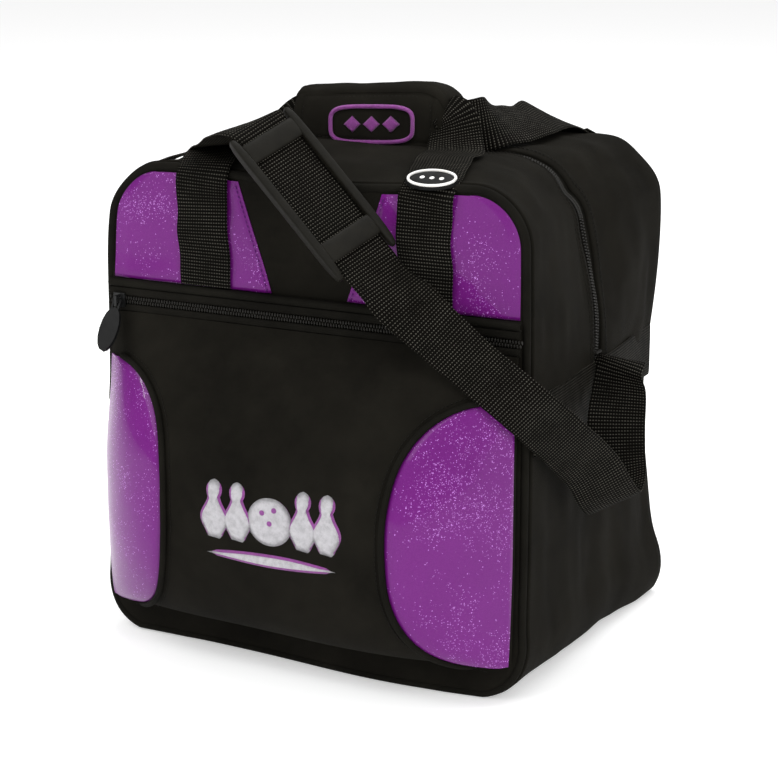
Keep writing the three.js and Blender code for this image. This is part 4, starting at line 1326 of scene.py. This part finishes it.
# Stations of (centre, direction across) in millimetres: from the right side band down through the slack
# drop, up through the slide, over the left top edge and down to the slack loop on the left.
STRAP = [
    ((166.5, 4, 186), (0.25, 0.97, 0)),
    ((172, 3, 200), (0.6, 0.8, 0)),
    ((178, 0, 211), (0.8, 0.4, -0.05)),
    ((181, -5, 214), (0.85, 0.08, -0.12)),
    ((182, -11, 210), (0.87, -0.2, -0.12)),
    ((184, -16, 197), (0.94, 0.1, -0.05)),
    ((187, -28, 176), (0.92, 0.38, 0)),
    ((190, -34, 152), (0.9, 0.42, 0.1)),
    ((195, -42, 134), (0.8, 0.47, 0.35)),
    ((197, -54, 126), (0.78, 0.47, 0.4)),
    ((196, -67, 135), (0.77, 0.45, 0.45)),
    ((192, -84, 156), (0.75, 0.3, 0.58)),
    ((183, -116, 184), (0.69, 0.1, 0.71)),
    ((165, -147, 215), ACROSS_DROP),
    ((132, -149, 238), ACROSS_DROP),
    ((100, -153, 264), (0.64, 0.2, 0.73)),
    (along_slide(75), ACROSS_SLIDE),
    (along_slide(60), ACROSS_SLIDE),
    (along_slide(0), ACROSS_SLIDE),
    (along_slide(-45), ACROSS_SLIDE),
    (along_slide(-59), ACROSS_SLIDE),
    ((-32, -149, 383.5), (0.74, 0.72, 0.3)),
    ((-51, -134, 373), (0.8, 0.6, 0.1)),
    ((-71, -112, 363), (0.7, 0.7, 0)),
    ((-90, -93, 357.5), (0.45, 0.9, 0)),
    ((-112, -80, 349.5), (0.15, 0.98, 0)),
    ((-133, -74, 344), (0, 1, 0)),
    ((-155, -72, 333), (0, 1, 0)),
    ((-167.8, -74, 312), (0, 1, 0)),
    ((-168.2, -78, 268), (0, 1, 0)),
    ((-168.5, -80, 225), (0, 1, 0)),
    ((-169.5, -80, 180), (0, 1, 0)),
    ((-172, -76, 135), (0, 1, 0)),
    ((-175, -70, 107), (-0.1, 0.98, 0.1)),
    ((-182, -61, 97), (-0.1, 0.98, 0.1)),
    ((-189, -53, 107), (0, 0.97, -0.2)),
    ((-190, -48, 140), (0, 0.95, -0.25)),
    ((-182, -43, 180), (0, 0.95, -0.25)),
    ((-170.5, -38, 208), (0, 0.96, -0.25)),
]


def make_strap():
    stations = [(np.array(centre) * MM, across) for centre, across in STRAP]
    strap = ribbon("shoulder_strap_webbing", stations, WEBBING, "webbing", wave=0.25 * MM, aslant=True)
    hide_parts("strap_front_run", "strap_right_run", "strap_left_run")
    blend_level(strap)


def bar_shell(low, high, rounding, place, puff_up=0.0):
    """A bar with rounded long edges and ends, from its two corners in the slide's own axes."""
    low, high = np.array(low, float), np.array(high, float)
    centre, half = (low + high) / 2, (high - low) / 2
    angles = np.linspace(0, 2 * math.pi, 24, endpoint=False)
    section = pairs(np.cos(angles), np.sin(angles))
    section = squared_wave(section, 0.4)
    points = []
    steps = 2 * crowded(15) - 1
    for t in steps:
        fade = (1 - abs(t) ** 8) ** 0.5 if abs(t) < 1 else 0.0
        shrink = lerp(1 - rounding / half[1:], np.ones(2), fade)
        ring = section * half[1:] * shrink
        ring[:, 1] += puff_up * (1 - t * t)
        points.extend(place(centre + np.array([t * half[0], y, z])) for y, z in ring)
    return points, capped_faces(len(steps), len(angles))


def make_slide():
    """Two rails and two bars over a thin back plate, in the slide's own axes: along, across and out."""
    across = unit(np.array(ACROSS_SLIDE) - np.dot(ACROSS_SLIDE, SLIDE_ALONG) * SLIDE_ALONG)
    out = np.cross(SLIDE_ALONG, across)
    basis = np.stack([SLIDE_ALONG, across, out])

    def place(point):
        return SLIDE_CENTRE + (point * MM) @ basis

    long, wide, rail = 58.5, 26.5, 6.3
    bars = [
        bar_shell((-long, wide - rail, -3.8), (long, wide, 3.8), 2.2, place, 0.6),
        bar_shell((-long, -wide, -3.8), (long, rail - wide, 3.8), 2.2, place, 0.6),
        bar_shell((-50.5, rail - wide - 1, -3.4), (46, wide - rail + 1, -1.9), 0.4, place),
        bar_shell((-51, rail - wide - 1, 1.6), (-36.5, wide - rail + 1, 3.6), 0.9, place, 0.5),
        bar_shell((31.5, rail - wide - 1, 1.6), (46.5, wide - rail + 1, 3.6), 0.9, place, 0.5),
    ]
    slide = join_shells("strap_slide_moulding", bars, SLIDE_PLASTIC, "slide_plastic")
    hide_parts("shoulder_slide")
    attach(slide, "shoulder_slide")


# ---------------------------------------------------------------- inside
def make_inside():
    dress("base_board", BOARD)
    soften("base_board", 0.8 * MM)
    low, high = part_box("ball_cup")
    outer, floor, rim = high.x, low.z, high.z
    ball_radius, rim_radius, hole = 109 * MM, 72 * MM, 40 * MM
    ball_z = rim + math.sqrt(ball_radius**2 - rim_radius**2)
    section = [(outer - 1 * MM, floor)]
    section += [(outer - 4 * MM + 4 * MM * math.cos(a), rim - 4 * MM + 4 * MM * math.sin(a))
                for a in np.linspace(0, math.pi / 2, 8)]
    section += [(r, ball_z - math.sqrt(ball_radius**2 - r**2)) for r in np.linspace(rim_radius, hole, 14)]
    section += [(hole, floor)]
    section = resample(np.array(section), 60)
    turns = np.linspace(0, 2 * math.pi, 96, endpoint=False)
    points = [(r * math.cos(a), r * math.sin(a), z) for a in turns for r, z in section]
    faces = grid_faces(len(turns), len(section), True, True)
    cup = new_piece("ball_cup_foam", points, faces, FOAM, "foam")
    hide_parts("ball_cup")
    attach(cup, "bag_body")


# ---------------------------------------------------------------- camera, light and floor
CAMERA_AZIMUTH = math.radians(26.34)
CAMERA_ELEVATION = math.radians(15.02)
CAMERA_DISTANCE = 1.699
CAMERA_LENS = 107.1
# How far the camera's aim lies off the bag's middle, to the camera's right and up.
CAMERA_SHIFT = Vector((-1.5 * MM, -5.8 * MM, 0))
LIGHT_AIM = Vector((0, 0, 0.18))


def make_camera():
    """The one view, from the front and a little to the right and above."""
    back = Vector((
        math.sin(CAMERA_AZIMUTH) * math.cos(CAMERA_ELEVATION),
        -math.cos(CAMERA_AZIMUTH) * math.cos(CAMERA_ELEVATION),
        math.sin(CAMERA_ELEVATION),
    ))
    turn = (-back).to_track_quat("-Z", "Y")
    target = Vector((0, 0, HEIGHT / 2)) + turn @ CAMERA_SHIFT
    data = bpy.data.cameras.new("camera")
    data.lens = CAMERA_LENS
    data.sensor_width = 36
    data.clip_end = 50
    camera = bpy.data.objects.new("camera", data)
    camera.location = target + back * CAMERA_DISTANCE
    camera.rotation_mode = "QUATERNION"
    camera.rotation_quaternion = turn
    bpy.context.scene.collection.objects.link(camera)
    bpy.context.scene.camera = camera


def make_light(name, place, size, power):
    """A rectangular lamp aimed at the middle of the bag."""
    data = bpy.data.lights.new(name, "AREA")
    data.shape = "RECTANGLE"
    data.size, data.size_y = size
    data.energy = power
    lamp = bpy.data.objects.new(name, data)
    lamp.location = place
    lamp.rotation_mode = "QUATERNION"
    lamp.rotation_quaternion = (LIGHT_AIM - Vector(place)).to_track_quat("-Z", "Y")
    bpy.context.scene.collection.objects.link(lamp)


def make_floor():
    mesh = bpy.data.meshes.new("floor")
    mesh.from_pydata([(-30, -30, 0), (30, -30, 0), (30, 30, 0), (-30, 30, 0)], [], [(0, 1, 2, 3)])
    m = Nodes("pale_floor")
    m.set(Base_Color=(0.85, 0.85, 0.85, 1), Roughness=0.9, Specular_IOR_Level=0.0, Emission_Strength=0.37)
    m.shader.inputs["Emission Color"].default_value = (1, 1, 1, 1)
    mesh.materials.append(m.material)
    floor = bpy.data.objects.new("floor", mesh)
    floor.location.z = -0.2 * MM
    bpy.context.scene.collection.objects.link(floor)


def make_world():
    """A white studio, dimmer towards the left so that the pocket's left edge doesn't glare."""
    world = bpy.data.worlds.new("studio")
    world.use_nodes = True
    world.node_tree.nodes["Background"].inputs["Color"].default_value = (1, 1, 1, 1)
    nodes, links = world.node_tree.nodes, world.node_tree.links
    direction = nodes.new("ShaderNodeSeparateXYZ")
    links.new(nodes.new("ShaderNodeTexCoord").outputs["Generated"], direction.inputs[0])
    strength = nodes.new("ShaderNodeMapRange")
    links.new(direction.outputs["X"], strength.inputs["Value"])
    for name, value in {"From Min": -0.95, "From Max": -0.2, "To Min": 0.15, "To Max": 0.66}.items():
        strength.inputs[name].default_value = value
    links.new(strength.outputs["Result"], nodes["Background"].inputs["Strength"])
    bpy.context.scene.world = world
    bpy.context.scene.view_settings.view_transform = "Standard"


make_camera()
make_floor()
make_world()
make_light("key", place=(-1.6, -2.0, 2.6), size=(2.6, 2.6), power=52)
make_light("fill_right", place=(1.8, -1.2, 1.3), size=(0.35, 1.4), power=16)
make_light("top", place=(0.3, 0.8, 2.6), size=(2.2, 2.2), power=50)
make_light("strip_left", place=(-1.9, -1.3, 1.7), size=(0.14, 1.1), power=9)

make_gusset()
make_front_panel()
make_rear_panel()
make_piping()
make_vinyl("left", -1)
make_vinyl("right", 1)
make_pocket()
make_inset("left", -1)
make_inset("right", 1)
make_pocket_emblem()
make_arched_zip()
make_pocket_zip()
make_sliders()
make_zip_tack("left", -1)
make_zip_tack("right", 1)
make_side_band("left", -1)
make_side_band("right", 1)
make_handle_loop("front_handle_loop", -1, FRONT_BAR_Y, "front_half")
make_handle_loop("rear_handle_loop", 1, REAR_BAR_Y, "bag_body")
make_badge()
make_wrap()
make_flap()
make_strap()
make_slide()
make_inside()
